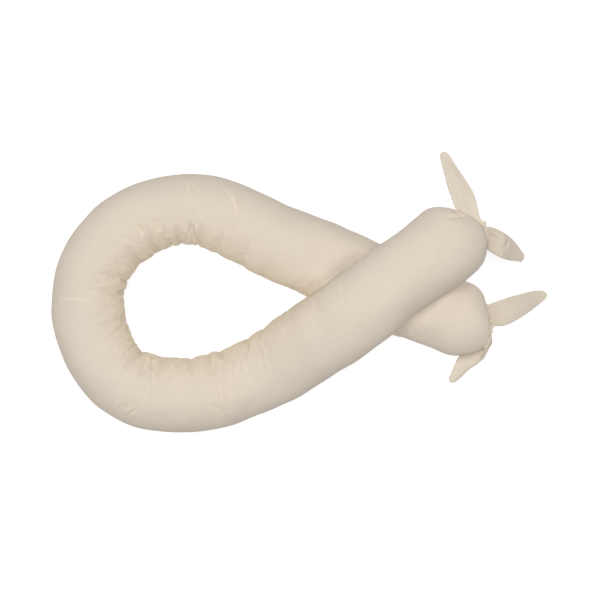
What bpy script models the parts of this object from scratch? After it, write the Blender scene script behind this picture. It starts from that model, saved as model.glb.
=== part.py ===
# Bed bumper: one long stuffed cotton tube lying in a crossed loop, with two leaf-shaped ties in each end seam.
# Metres, +Z up, lying on the floor at z = 0. The loop opens to -X and both ends point to +X.
from collections import namedtuple
import math

import bpy
import numpy as np

# Driving sizes
TUBE_POINTS = 36          # points round the tube, an even number
PATH_STEPS = 4000         # steps along the centreline when its length is measured
DIRECTION_STEP = 0.001    # the short step over which a curve's direction is taken
LOOP_PITCH = 0.015        # ring spacing where the cloth is creased
PLAIN_PITCH = 0.021       # ring spacing along the smooth stretches
CREASED_FROM = 0.36       # stretch of the tube, measured from the lower rim, that is creased on the inside
CREASED_TO = 1.46
FLOOR_BLEND = 0.014       # how softly the tube flattens where it meets the floor
PRESS_BLEND = 0.012       # how softly it flattens where it meets itself
CROSSING_GAP = 0.0014     # clearance between the two limbs at the crossing
LOWER_LIMB_END = 0.40     # the lower limb is the first stretch of the tube, up to here
LOWER_LIMB_STEPS = 200    # places along it where its upper side is read
LIMB_SHOULDER = 0.97      # share of its half width out to which its upper side carries anything
NOT_PRESSED = 0.160       # a height that the lower limb never reaches
ENDS_POINT = np.array([1.0, 0.0, 0.0])      # the way both ends point
MIDDLE = np.array([0.0035, -0.0030, 0.0])   # the whole bumper's middle in the tables' coordinates
CAP_RINGS = 7             # rings in each domed end
CAP_TURN = 80             # degrees that the dome has turned in when it meets the seam
SEAM_LIP = 0.005          # the seam stands this far proud of the dome
SEAM_HALF_THICKNESS = 0.0028
LIP_TAPER = 0.9           # the seam's outer edge is this much thinner than its root
GATHER_DEPTH = 0.0016     # depth of the gathers that run into the seam
GATHER_FADE = 4           # how fast they fade away from the seam
TIE_GAP = 0.0003          # clearance between a tie's root and the seam
TIE_ROOT_BOW = 0.25       # share of the tie's length over which it keeps the seam's bow
TIE_HALF_THICKNESS = 0.0021   # double cloth, sewn and turned
TIE_EDGE_HALF_THICKNESS = 0.0013
TIE_POINTS_ACROSS = 6
TIE_STEPS = 19
TIE_TIP_STEPS = 5         # of those, the steps round the tip
TIE_TIP_ROUND = 0.07      # share of the tie's length taken up by its round tip
TIE_TIP_WIDTH = 0.25      # the last step's share of the width, so that the tip closes bluntly

# The tube's centreline, from the lower end's rim, round the loop, to the upper end's rim.
# z is the height of the widest point, pressed_to the height that the limb above presses the top down to.
Section = namedtuple("Section", "x y z half_width half_height pressed_to")
SECTIONS = [
    Section(0.319, -0.0505, 0.064, 0.0765, 0.078, NOT_PRESSED),
    Section(0.254, -0.026, 0.062, 0.0770, 0.080, 0.135),
    Section(0.181, 0.005, 0.058, 0.0820, 0.081, 0.116),
    Section(0.110, 0.036, 0.058, 0.0800, 0.081, 0.116),
    Section(0.041, 0.0675, 0.061, 0.0800, 0.080, 0.135),
    Section(-0.024, 0.094, 0.062, 0.0775, 0.080, NOT_PRESSED),
    Section(-0.125, 0.142, 0.062, 0.0750, 0.080, NOT_PRESSED),
    Section(-0.206, 0.168, 0.062, 0.0715, 0.080, NOT_PRESSED),
    Section(-0.275, 0.165, 0.062, 0.0725, 0.080, NOT_PRESSED),
    Section(-0.345, 0.135, 0.062, 0.0730, 0.080, NOT_PRESSED),
    Section(-0.402, 0.082, 0.062, 0.0725, 0.080, NOT_PRESSED),
    Section(-0.432, 0.006, 0.062, 0.0715, 0.080, NOT_PRESSED),
    Section(-0.425, -0.076, 0.062, 0.0740, 0.080, NOT_PRESSED),
    Section(-0.387, -0.158, 0.062, 0.0730, 0.080, NOT_PRESSED),
    Section(-0.308, -0.203, 0.062, 0.0755, 0.080, NOT_PRESSED),
    Section(-0.225, -0.209, 0.062, 0.0765, 0.080, NOT_PRESSED),
    Section(-0.133, -0.188, 0.062, 0.0760, 0.080, NOT_PRESSED),
    Section(-0.076, -0.162, 0.068, 0.0780, 0.078, NOT_PRESSED),
    Section(-0.017, -0.126, 0.092, 0.0800, 0.075, NOT_PRESSED),
    Section(0.051, -0.080, 0.135, 0.0800, 0.074, NOT_PRESSED),
    Section(0.123, -0.029, 0.175, 0.0790, 0.073, NOT_PRESSED),
    Section(0.197, 0.024, 0.186, 0.0795, 0.073, NOT_PRESSED),
    Section(0.256, 0.068, 0.179, 0.0800, 0.074, NOT_PRESSED),
    Section(0.291, 0.096, 0.170, 0.0795, 0.074, NOT_PRESSED),
]

# Creases on the inside of the loop: distance along the tube from the lower rim, and depth.
Crease = namedtuple("Crease", "at depth")
CREASES = [
    Crease(0.397, 0.0025),
    Crease(0.442, 0.0030),
    Crease(0.503, 0.0030),
    Crease(0.556, 0.0040),
    Crease(0.614, 0.0045),
    Crease(0.642, 0.0040),
    Crease(0.689, 0.0050),
    Crease(0.753, 0.0060),
    Crease(0.830, 0.0060),
    Crease(0.867, 0.0040),
    Crease(0.949, 0.0045),
    Crease(1.083, 0.0100),
    Crease(1.160, 0.0030),
    Crease(1.239, 0.0040),
    Crease(1.284, 0.0060),
    Crease(1.313, 0.0045),
    Crease(1.391, 0.0070),
    Crease(1.434, 0.0060),
]
CREASE_FULLNESS = 0.6         # under 1 makes narrow creases between round bulges
CREASE_MIDDLE = math.radians(5)   # the creases are deepest here on the tube's inner side
CREASE_REACH = math.radians(80)   # and fade out this far round from there
CREASE_FADE = 0.03            # the first and the last crease fade out along the tube over this length

# Each end's seam, through its two corners and its middle. The first corner is on the tube's left side, and
# left_turn is how far the dome has turned in there: less makes a flatter corner.
Seam = namedtuple("Seam", "left middle right left_turn")
LOWER_SEAM = Seam((0.3790, -0.1150, 0.052), (0.3940, -0.0795, 0.062), (0.3835, -0.0235, 0.070), 50)
UPPER_SEAM = Seam((0.3110, 0.1540, 0.180), (0.3655, 0.1350, 0.166), (0.3707, 0.0854, 0.142), 80)

# A tie's two long edges, row by row from the seam to the tip. The middle of the tie is lifted off the
# line between them in a soft lengthwise fold.
TieRow = namedtuple("TieRow", "left right lift")
Tie = namedtuple("Tie", "name seam seam_from seam_to rows")
TIES = [
    Tie("tie_upper_left", UPPER_SEAM, 0.01, 0.40, [
        TieRow((0.304, 0.170, 0.183), (0.351, 0.166, 0.166), 0.001),
        TieRow((0.298, 0.186, 0.183), (0.347, 0.185, 0.164), 0.003),
        TieRow((0.291, 0.208, 0.178), (0.336, 0.210, 0.160), 0.004),
        TieRow((0.286, 0.231, 0.170), (0.322, 0.232, 0.156), 0.004),
        TieRow((0.281, 0.254, 0.160), (0.307, 0.256, 0.150), 0.002),
        TieRow((0.276, 0.278, 0.150), (0.294, 0.280, 0.146), 0.001),
    ]),
    Tie("tie_upper_right", UPPER_SEAM, 0.56, 0.99, [
        TieRow((0.387, 0.127, 0.156), (0.384, 0.078, 0.141), 0.001),
        TieRow((0.405, 0.119, 0.147), (0.400, 0.070, 0.133), 0.004),
        TieRow((0.421, 0.110, 0.128), (0.415, 0.066, 0.117), 0.004),
        TieRow((0.439, 0.096, 0.097), (0.433, 0.064, 0.091), 0.003),
        TieRow((0.455, 0.082, 0.062), (0.448, 0.064, 0.058), 0.002),
        TieRow((0.462, 0.076, 0.044), (0.455, 0.062, 0.042), 0.001),
    ]),
    Tie("tie_lower_right", LOWER_SEAM, 0.99, 0.62, [
        TieRow((0.408, -0.016, 0.070), (0.418, -0.067, 0.062), 0.001),
        TieRow((0.433, -0.008, 0.057), (0.448, -0.054, 0.051), 0.003),
        TieRow((0.462, -0.001, 0.036), (0.477, -0.037, 0.032), 0.003),
        TieRow((0.489, 0.004, 0.014), (0.499, -0.022, 0.012), 0.002),
        TieRow((0.511, 0.004, 0.0015), (0.517, -0.009, 0.0015), 0.000),
    ]),
    Tie("tie_lower_left", LOWER_SEAM, 0.01, 0.40, [
        TieRow((0.378, -0.131, 0.045), (0.3935, -0.101, 0.048), 0.000),
        TieRow((0.375, -0.139, 0.033), (0.3875, -0.108, 0.032), 0.001),
        TieRow((0.366, -0.149, 0.019), (0.368, -0.110, 0.014), 0.004),
        TieRow((0.352, -0.160, 0.009), (0.339, -0.122, 0.005), 0.007),
        TieRow((0.338, -0.174, 0.004), (0.320, -0.155, 0.0025), 0.006),
        TieRow((0.320, -0.190, 0.0015), (0.307, -0.184, 0.0015), 0.002),
    ]),
]

# Undyed sand cotton, as linear red, green and blue
BODY_COLOUR = (0.73, 0.65, 0.54)
TIE_COLOUR = (0.69, 0.61, 0.51)
CLOTH_ROUGHNESS = 0.9


def smooth_max(a, b, blend):
    """The larger of a and b, rounded off over the blend where they meet."""
    overlap = np.maximum(blend - np.abs(a - b), 0)
    return np.maximum(a, b) + overlap ** 2 / (4 * blend)


def smooth_min(a, b, blend):
    """The smaller of a and b, rounded off over the blend where they meet."""
    return -smooth_max(-a, -b, blend)


def natural_spline(knots, values, at):
    """Natural cubic spline through values at knots, read at the given places."""
    knots = np.asarray(knots, float)
    values = np.asarray(values, float)
    count = len(knots)
    step = np.diff(knots)
    slope = np.diff(values, axis=0) / step[:, None]
    system = np.eye(count)
    right_side = np.zeros_like(values)
    for i in range(1, count - 1):
        system[i, i - 1:i + 2] = step[i - 1], 2 * (step[i - 1] + step[i]), step[i]
        right_side[i] = 6 * (slope[i] - slope[i - 1])
    bend = np.linalg.solve(system, right_side)
    at = np.clip(at, knots[0], knots[-1])
    i = np.clip(np.searchsorted(knots, at, side="right") - 1, 0, count - 2)
    width = step[i][:, None]
    after = ((at - knots[i])[:, None]) / width
    before = 1 - after
    curve = (before ** 3 - before) * bend[i] + (after ** 3 - after) * bend[i + 1]
    return before * values[i] + after * values[i + 1] + curve * width ** 2 / 6


def eased(knots, values, at):
    """Each value eased into the next, level at every knot."""
    i = np.clip(np.searchsorted(knots, at, side="right") - 1, 0, len(knots) - 2)
    share = np.clip((at - knots[i]) / (knots[i + 1] - knots[i]), 0, 1)
    share = share * share * (3 - 2 * share)
    return values[i] * (1 - share) + values[i + 1] * share


class Centreline:
    """The tube's centreline by distance along it, with its sections' sizes."""

    def __init__(self, sections):
        places = np.array([(s.x, s.y, s.z) for s in sections])
        chords = np.linalg.norm(np.diff(places, axis=0), axis=1)
        self.knots = np.concatenate([[0], np.cumsum(chords)])
        self.places = places
        self.half_width = np.array([s.half_width for s in sections])
        self.half_height = np.array([s.half_height for s in sections])
        self.pressed_to = np.array([s.pressed_to for s in sections])
        fine = np.linspace(0, self.knots[-1], PATH_STEPS)
        path = natural_spline(self.knots, places, fine)
        self.fine = fine
        self.distance = np.concatenate([[0], np.cumsum(np.linalg.norm(np.diff(path, axis=0), axis=1))])
        self.length = self.distance[-1]

    def read(self, distance):
        """Place, left and up directions, and sizes at each distance."""
        at = np.interp(distance, self.distance, self.fine)
        place = natural_spline(self.knots, self.places, at)
        ahead = natural_spline(self.knots, self.places, at + DIRECTION_STEP)
        behind = natural_spline(self.knots, self.places, at - DIRECTION_STEP)
        along = ahead - behind
        along /= np.linalg.norm(along, axis=1)[:, None]
        left = np.stack([-along[:, 1], along[:, 0], np.zeros(len(at))], axis=1)
        left /= np.linalg.norm(left, axis=1)[:, None]
        up = np.cross(along, left)
        return {
            "place": place, "along": along, "left": left, "up": up,
            "half_width": eased(self.knots, self.half_width, at),
            "half_height": eased(self.knots, self.half_height, at),
            "pressed_to": eased(self.knots, self.pressed_to, at),
        }


def crease_depth(distance, angle):
    """How far the cloth draws in between the bulges on the loop's inner side."""
    at = np.array([c.at for c in CREASES])
    depth = np.array([c.depth for c in CREASES])
    i = np.clip(np.searchsorted(at, distance, side="right") - 1, 0, len(at) - 2)
    share = np.clip((distance - at[i]) / (at[i + 1] - at[i]), 0, 1)
    bulge = np.sin(math.pi * share) ** CREASE_FULLNESS
    drawn = (depth[i] * (1 - share) + depth[i + 1] * share) * (1 - bulge)
    fade = np.clip(np.abs(angle - CREASE_MIDDLE) / CREASE_REACH, 0, 1)
    reach = 0.5 + 0.5 * np.cos(math.pi * fade)
    past_first = np.clip((distance - at[0]) / CREASE_FADE + 1, 0, 1)
    before_last = np.clip((at[-1] - distance) / CREASE_FADE + 1, 0, 1)
    return (drawn * past_first * before_last)[:, None] * reach[None, :]


def tube_rings(line, distance, angle):
    """Rings of the tube before anything presses on it."""
    at = line.read(distance)
    drawn_in = crease_depth(distance, angle)
    shrink = 1 - drawn_in / at["half_width"][:, None]
    across = at["half_width"][:, None] * np.cos(angle)[None, :] * shrink
    height = at["half_height"][:, None] * np.sin(angle)[None, :] * shrink
    return at["place"][:, None] + across[..., None] * at["left"][:, None] + height[..., None] * at["up"][:, None]


def lower_limb_top(line, places):
    """Height of the lower limb's upper side under each place, or below the floor where it isn't there."""
    distance = np.linspace(0, LOWER_LIMB_END, LOWER_LIMB_STEPS)
    at = line.read(distance)
    flat = places[:, None, :2] - at["place"][None, :, :2]
    nearest = np.argmin((flat ** 2).sum(axis=2), axis=1)
    aside = np.sqrt((flat ** 2).sum(axis=2)[np.arange(len(places)), nearest])
    share = aside / at["half_width"][nearest]
    rise = at["half_height"][nearest] * np.sqrt(np.clip(1 - share ** 2, 0, 1))
    top = smooth_min(at["place"][nearest, 2] + rise, at["pressed_to"][nearest], PRESS_BLEND)
    return np.where(share < LIMB_SHOULDER, top, -NOT_PRESSED)


def press(line, distance, rings):
    """Flattens the rings on the floor, under the upper limb, and over the lower limb."""
    rings = rings.copy()
    lower = distance < LOWER_LIMB_END
    pressed_to = line.read(distance[lower])["pressed_to"][:, None]
    rings[lower, :, 2] = smooth_min(rings[lower, :, 2], pressed_to, PRESS_BLEND)
    rings[..., 2] = smooth_max(rings[..., 2], 0.0, FLOOR_BLEND)
    upper = distance > line.length / 2
    over = rings[upper].reshape(-1, 3)
    rest_on = lower_limb_top(line, over) + CROSSING_GAP
    over[:, 2] = smooth_max(over[:, 2], rest_on, PRESS_BLEND)
    rings[upper] = over.reshape(rings[upper].shape)
    return rings


def seam_point(seam, share):
    """A point on an end's seam, from its left corner (0) to its right corner (1)."""
    left, middle, right = np.array(seam.left), np.array(seam.middle), np.array(seam.right)
    share = np.asarray(share, float)[..., None]
    bow = middle - (left + right) / 2
    return left * (1 - share) + right * share + 4 * share * (1 - share) * bow


def seam_outward(seam, share, outward):
    """The level direction square to the seam at a share of its length, on the side of outward."""
    share = np.asarray(share, float)
    along = seam_point(seam, share + DIRECTION_STEP) - seam_point(seam, share - DIRECTION_STEP)
    side = np.stack([along[..., 1], -along[..., 0], 0 * along[..., 0]], axis=-1)
    side /= np.linalg.norm(side, axis=-1)[..., None]
    return side * np.sign((side * outward).sum(axis=-1))[..., None]


def cap_rings(rim, outward, seam, angle):
    """The domed end, from beyond the rim to the seam's lip, as rings."""
    share = (1 - np.cos(angle)) / 2
    lip = seam_point(seam, share)
    out = seam_outward(seam, share, outward)
    side = np.sin(angle)[:, None] * np.array([0, 0, 1.0])
    root = lip - out * SEAM_LIP + side * SEAM_HALF_THICKNESS
    reach = ((root - rim) @ outward)[:, None] * outward
    draw = root - rim - reach
    zigzag = np.where(np.arange(len(angle)) % 2 == 0, 1.0, -1.0) * np.sin(angle) ** 2
    full_turn = np.radians(CAP_TURN + (seam.left_turn - CAP_TURN) * np.maximum(np.cos(angle), 0) ** 2)[:, None]
    rings = []
    for i in range(1, CAP_RINGS + 1):
        turn = full_turn * i / CAP_RINGS
        forward = np.sin(turn) / np.sin(full_turn)
        inward = (1 - np.cos(turn)) / (1 - np.cos(full_turn))
        gather = GATHER_DEPTH * zigzag[:, None] * forward ** GATHER_FADE
        rings.append(rim + reach * forward + draw * inward + side * gather)
    edge = lip + side * SEAM_HALF_THICKNESS * LIP_TAPER
    edge[:, 2] += GATHER_DEPTH * zigzag
    rings.append(edge)
    rings = np.array(rings)
    rings[..., 2] = smooth_max(rings[..., 2], 0.0, FLOOR_BLEND)
    return rings


def ring_places(line):
    """Distances along the tube for its rings: one on each crease, evenly spaced between."""
    stops = [0.0, CREASED_FROM] + [c.at for c in CREASES] + [CREASED_TO, line.length]
    places = [stops[0]]
    for start, end in zip(stops, stops[1:]):
        creased = start >= CREASED_FROM and end <= CREASED_TO
        pitch = LOOP_PITCH if creased else PLAIN_PITCH
        count = math.ceil((end - start) / pitch)
        places += [start + (end - start) * i / count for i in range(1, count + 1)]
    return np.array(places)


def make_material(name, colour):
    material = bpy.data.materials.new(name)
    material.use_nodes = True
    shader = material.node_tree.nodes["Principled BSDF"]
    shader.inputs["Base Color"].default_value = (*colour, 1)
    shader.inputs["Roughness"].default_value = CLOTH_ROUGHNESS
    shader.inputs["Metallic"].default_value = 0
    return material


def make_object(name, points, faces, colour):
    mesh = bpy.data.meshes.new(name)
    mesh.from_pydata([tuple(p - MIDDLE) for p in points], [], faces)
    mesh.materials.append(make_material(name + "_cloth", colour))
    mesh.shade_smooth()
    item = bpy.data.objects.new(name, mesh)
    bpy.context.collection.objects.link(item)
    return item


def skin(rings):
    """Faces over a run of rings of equal size, closed flat at both ends by strips from side to side."""
    count = rings.shape[1]
    half = count // 2
    faces = []
    for i in range(len(rings) - 1):
        for j in range(count):
            k = (j + 1) % count
            faces.append((i * count + j, i * count + k, (i + 1) * count + k, (i + 1) * count + j))
    last = (len(rings) - 1) * count
    for base, turned in ((0, True), (last, False)):
        strip = [(0, 1, count - 1)]
        strip += [(j, j + 1, count - j - 1, count - j) for j in range(1, half - 1)]
        strip.append((half - 1, half, half + 1))
        for face in strip:
            face = face[::-1] if turned else face
            faces.append(tuple(base + k for k in face))
    return faces


def make_body():
    """The whole tube as one skin, from the lower end's seam round the loop to the upper end's seam."""
    line = Centreline(SECTIONS)
    angle = np.linspace(0, 2 * math.pi, TUBE_POINTS, endpoint=False)
    angle_from_left = (angle + math.pi) % (2 * math.pi) - math.pi
    distance = ring_places(line)
    loose = tube_rings(line, distance, angle_from_left)
    ends = line.read(np.array([0.0, line.length]))
    lower = cap_rings(loose[0], -ends["along"][0], LOWER_SEAM, angle)
    upper = cap_rings(loose[-1], ends["along"][1], UPPER_SEAM, angle)
    rings = np.concatenate([lower[::-1], press(line, distance, loose), upper])
    return make_object("bumper_body", rings.reshape(-1, 3), skin(rings), BODY_COLOUR)


def tie_steps():
    """Places along a tie as shares of its length, closer together round its tip."""
    straight = np.linspace(0, 1 - TIE_TIP_ROUND, TIE_STEPS - TIE_TIP_STEPS, endpoint=False)
    turn = np.linspace(0, math.pi / 2, TIE_TIP_STEPS)
    return np.concatenate([straight, 1 - TIE_TIP_ROUND + TIE_TIP_ROUND * np.sin(turn)])


def tie_edges(tie, outward):
    """The tie's left edge, right edge and lift, from just clear of the seam to the tip."""
    shares = np.array([tie.seam_from, tie.seam_to])
    root = seam_point(tie.seam, shares) + seam_outward(tie.seam, shares, outward) * TIE_GAP
    left = np.array([root[0]] + [row.left for row in tie.rows])
    right = np.array([root[1]] + [row.right for row in tie.rows])
    lift = np.array([[0.0]] + [[row.lift] for row in tie.rows])
    middle = (left + right) / 2
    knots = np.concatenate([[0], np.cumsum(np.linalg.norm(np.diff(middle, axis=0), axis=1))])
    at = tie_steps() * knots[-1]
    return [natural_spline(knots, values, at) for values in (left, right, lift)]


def make_tie(tie, outward):
    """The tie as a closed ribbon: rings of its upper side and its under side, thickest along the middle."""
    left, right, lift = tie_edges(tie, outward)
    share = np.linspace(0, 1, TIE_POINTS_ACROSS + 1)
    along = tie_steps()
    past = np.clip((along - 1 + TIE_TIP_ROUND) / TIE_TIP_ROUND, 0, 1)
    width = np.maximum(np.sqrt(1 - past ** 2), TIE_TIP_WIDTH)
    middle = (left + right) / 2
    half = (right - left) / 2 * width[:, None]
    sheet = middle[:, None] + half[:, None] * (2 * share - 1)[None, :, None]
    root_share = tie.seam_from + (tie.seam_to - tie.seam_from) * share
    root = seam_point(tie.seam, root_share) + seam_outward(tie.seam, root_share, outward) * TIE_GAP
    sheet += (root - sheet[0]) * np.clip(1 - along / TIE_ROOT_BOW, 0, 1)[:, None, None] ** 2
    forward = np.gradient(middle, axis=0)
    up = np.cross(right - left, forward)
    up /= np.linalg.norm(up, axis=1)[:, None]
    up[0] = (0, 0, 1)
    from_middle = 2 * share - 1
    sheet += up[:, None] * (lift * (1 - from_middle ** 2))[..., None]
    crown = np.sqrt(1 - from_middle ** 2)
    thickness = TIE_EDGE_HALF_THICKNESS + (TIE_HALF_THICKNESS - TIE_EDGE_HALF_THICKNESS) * crown
    offset = up[:, None] * thickness[None, :, None]
    rings = np.concatenate([sheet - offset, (sheet + offset)[:, ::-1]], axis=1)
    rings[..., 2] = np.maximum(rings[..., 2], 0)
    count = rings.shape[1]
    faces = []
    for i in range(TIE_STEPS - 1):
        for j in range(count):
            k = (j + 1) % count
            faces.append((i * count + j, (i + 1) * count + j, (i + 1) * count + k, i * count + k))
    last = (TIE_STEPS - 1) * count
    for j in range(TIE_POINTS_ACROSS):
        k = count - 1 - j
        faces.append((j, j + 1, k - 1, k))
        faces.append((last + k, last + k - 1, last + j + 1, last + j))
    return make_object(tie.name, rings.reshape(-1, 3), faces, TIE_COLOUR)


for old in list(bpy.data.objects):
    bpy.data.objects.remove(old, do_unlink=True)

make_body()
for each_tie in TIES:
    make_tie(each_tie, ENDS_POINT)
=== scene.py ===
from collections import namedtuple
import math

import bpy
import numpy as np
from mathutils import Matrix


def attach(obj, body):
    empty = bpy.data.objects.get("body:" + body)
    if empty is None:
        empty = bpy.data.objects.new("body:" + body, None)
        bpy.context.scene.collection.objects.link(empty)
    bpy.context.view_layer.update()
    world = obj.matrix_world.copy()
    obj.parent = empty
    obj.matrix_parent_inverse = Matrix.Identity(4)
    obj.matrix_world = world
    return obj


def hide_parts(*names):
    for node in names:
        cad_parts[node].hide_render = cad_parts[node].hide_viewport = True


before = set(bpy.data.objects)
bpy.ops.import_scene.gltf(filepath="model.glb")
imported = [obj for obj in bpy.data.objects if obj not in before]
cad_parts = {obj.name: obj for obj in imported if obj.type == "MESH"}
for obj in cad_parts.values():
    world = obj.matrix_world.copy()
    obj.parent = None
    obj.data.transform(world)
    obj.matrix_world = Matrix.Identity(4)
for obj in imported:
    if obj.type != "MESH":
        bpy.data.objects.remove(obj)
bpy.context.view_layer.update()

# The run of the tube.
# One long tube of cotton cloth, stuffed firm and even, lies on the floor in a crossed loop. Its first end
# lies under the crossing, its last end on top. All its sections follow one smooth centreline.
MIDDLE = np.array([0.0035, -0.0030, 0.0])   # the whole bumper's middle in the table's coordinates
ENDS_POINT = np.array([1.0, 0.0, 0.0])      # the way both ends point
NOT_PRESSED = 0.160       # a height that the lower limb never reaches
PATH_STEPS = 4000         # steps along the centreline when its length is measured
DIRECTION_STEP = 0.001    # the short step over which a curve's direction is taken
Section = namedtuple("Section", "x y z half_width half_height pressed_to", defaults=[NOT_PRESSED])
SECTIONS = [
    Section(0.319, -0.0505, 0.064, 0.0765, 0.078),
    Section(0.254, -0.026, 0.062, 0.0770, 0.080, 0.135),
    Section(0.181, 0.005, 0.058, 0.0820, 0.081, 0.116),
    Section(0.110, 0.036, 0.058, 0.0800, 0.081, 0.116),
    Section(0.041, 0.0675, 0.061, 0.0800, 0.080, 0.135),
    Section(-0.024, 0.094, 0.062, 0.0775, 0.080),
    Section(-0.125, 0.142, 0.062, 0.0750, 0.080),
    Section(-0.206, 0.168, 0.062, 0.0715, 0.080),
    Section(-0.275, 0.165, 0.062, 0.0725, 0.080),
    Section(-0.345, 0.135, 0.062, 0.0730, 0.080),
    Section(-0.402, 0.082, 0.062, 0.0725, 0.080),
    Section(-0.432, 0.006, 0.062, 0.0715, 0.080),
    Section(-0.425, -0.076, 0.062, 0.0740, 0.080),
    Section(-0.387, -0.158, 0.062, 0.0730, 0.080),
    Section(-0.308, -0.203, 0.062, 0.0755, 0.080),
    Section(-0.225, -0.209, 0.062, 0.0765, 0.080),
    Section(-0.133, -0.188, 0.062, 0.0760, 0.080),
    Section(-0.076, -0.162, 0.068, 0.0780, 0.078),
    Section(-0.017, -0.126, 0.092, 0.0800, 0.075),
    Section(0.051, -0.080, 0.135, 0.0800, 0.074),
    Section(0.123, -0.029, 0.175, 0.0790, 0.073),
    Section(0.197, 0.024, 0.186, 0.0795, 0.073),
    Section(0.256, 0.068, 0.179, 0.0800, 0.074),
    Section(0.291, 0.096, 0.170, 0.0795, 0.074),
]


def natural_spline(knots, values, at):
    """Natural cubic spline through values at knots, read at the given places."""
    knots = np.asarray(knots, float)
    values = np.asarray(values, float)
    count = len(knots)
    step = np.diff(knots)
    slope = np.diff(values, axis=0) / step[:, None]
    system = np.eye(count)
    right_side = np.zeros_like(values)
    for i in range(1, count - 1):
        system[i, i - 1:i + 2] = step[i - 1], 2 * (step[i - 1] + step[i]), step[i]
        right_side[i] = 6 * (slope[i] - slope[i - 1])
    bend = np.linalg.solve(system, right_side)
    at = np.clip(at, knots[0], knots[-1])
    i = np.clip(np.searchsorted(knots, at, side="right") - 1, 0, count - 2)
    width = step[i][:, None]
    after = ((at - knots[i])[:, None]) / width
    before = 1 - after
    curve = (before ** 3 - before) * bend[i] + (after ** 3 - after) * bend[i + 1]
    return before * values[i] + after * values[i + 1] + curve * width ** 2 / 6


def eased(knots, values, at):
    """Each value eased into the next, level at every knot."""
    i = np.clip(np.searchsorted(knots, at, side="right") - 1, 0, len(knots) - 2)
    share = np.clip((at - knots[i]) / (knots[i + 1] - knots[i]), 0, 1)
    share = share * share * (3 - 2 * share)
    return values[i] * (1 - share) + values[i + 1] * share


def run_length(places):
    """Distance of each place from the first, measured along the run of them."""
    return np.concatenate([[0], np.cumsum(np.linalg.norm(np.diff(places, axis=0), axis=1))])


class Centreline:
    """The tube's centreline by distance along it, with its sections' sizes."""

    def __init__(self, sections):
        places = np.array([(s.x, s.y, s.z) for s in sections])
        self.knots = run_length(places)
        self.places = places
        self.half_width = np.array([s.half_width for s in sections])
        self.half_height = np.array([s.half_height for s in sections])
        self.pressed_to = np.array([s.pressed_to for s in sections])
        fine = np.linspace(0, self.knots[-1], PATH_STEPS)
        path = natural_spline(self.knots, places, fine)
        self.fine = fine
        self.distance = run_length(path)
        self.length = self.distance[-1]

    def read(self, distance):
        """Place, left and up directions, and sizes at each distance."""
        at = np.interp(distance, self.distance, self.fine)
        place = natural_spline(self.knots, self.places, at)
        ahead = natural_spline(self.knots, self.places, at + DIRECTION_STEP)
        behind = natural_spline(self.knots, self.places, at - DIRECTION_STEP)
        along = ahead - behind
        along /= np.linalg.norm(along, axis=1)[:, None]
        left = np.stack([-along[:, 1], along[:, 0], np.zeros(len(at))], axis=1)
        left /= np.linalg.norm(left, axis=1)[:, None]
        return {
            "place": place, "along": along, "left": left, "up": np.cross(along, left),
            "half_width": eased(self.knots, self.half_width, at),
            "half_height": eased(self.knots, self.half_height, at),
            "pressed_to": eased(self.knots, self.pressed_to, at),
        }


line = Centreline(SECTIONS)

# The cover's skin.
# The cover is one tube of plain-woven cotton over the stuffing. Its skin is laid out here as rings of
# points: closer together where the loop's bend crumples the cloth, wider apart on the smooth limbs.
POINTS_ROUND = 144        # a multiple of four
CREASED_FROM = 0.36       # stretch of the tube, measured from the lower rim, that is creased on the inside
CREASED_TO = 1.46
CREASED_PITCH = 0.0025    # spacing of the rings there
SMOOTH_PITCH = 0.0045     # and on the smooth limbs
CAP_RINGS = 26            # rings in each domed end
CAP_TURN = 80             # degrees that the dome has turned in when it meets the seam
SQUEEZE = 0.0095          # the upper limb's right side is pushed in this far where it crosses the lower limb
SAG = 0.010               # and sags this far, so that it bulges lowest down
SQUEEZED_AT = 1.74        # distance along the tube of the middle of the crossing
SQUEEZED_REACH = 0.095
SEAM_LIP = 0.005          # the sewn lip stands this far proud of the dome
SEAM_HALF_THICKNESS = 0.0028
# Two corners and the middle of each end's seam, and the dome's turn in degrees at the left corner and at its
# crown, where less is flatter. Fullness over 1 keeps the crown high for longer.
Seam = namedtuple("Seam", "left middle right left_turn crown_turn fullness")
LOWER_SEAM = Seam((0.3790, -0.1150, 0.052), (0.3940, -0.0795, 0.062), (0.3835, -0.0235, 0.070), 50, 85, 1.25)
UPPER_SEAM = Seam((0.3110, 0.1540, 0.180), (0.3655, 0.1350, 0.166), (0.3707, 0.0854, 0.142), 80, 50, 1.0)


def ring_distances():
    """Distances along the tube for its rings, from the lower rim to the upper rim."""
    places = [0.0]
    while places[-1] < line.length:
        creased = CREASED_FROM < places[-1] < CREASED_TO
        places.append(places[-1] + (CREASED_PITCH if creased else SMOOTH_PITCH))
    return np.array(places) * line.length / places[-1]


def seam_point(seam, share):
    """A point on an end's seam, from its left corner (0) to its right corner (1)."""
    left, middle, right = np.array(seam.left), np.array(seam.middle), np.array(seam.right)
    share = np.asarray(share, float)[..., None]
    bow = middle - (left + right) / 2
    return left * (1 - share) + right * share + 4 * share * (1 - share) * bow


def seam_outward(seam, share, outward):
    """The level direction square to the seam at a share of its length, on the side of outward."""
    share = np.asarray(share, float)
    along = seam_point(seam, share + DIRECTION_STEP) - seam_point(seam, share - DIRECTION_STEP)
    side = np.stack([along[..., 1], -along[..., 0], 0 * along[..., 0]], axis=-1)
    side /= np.linalg.norm(side, axis=-1)[..., None]
    return side * np.sign((side * outward).sum(axis=-1))[..., None]


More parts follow.
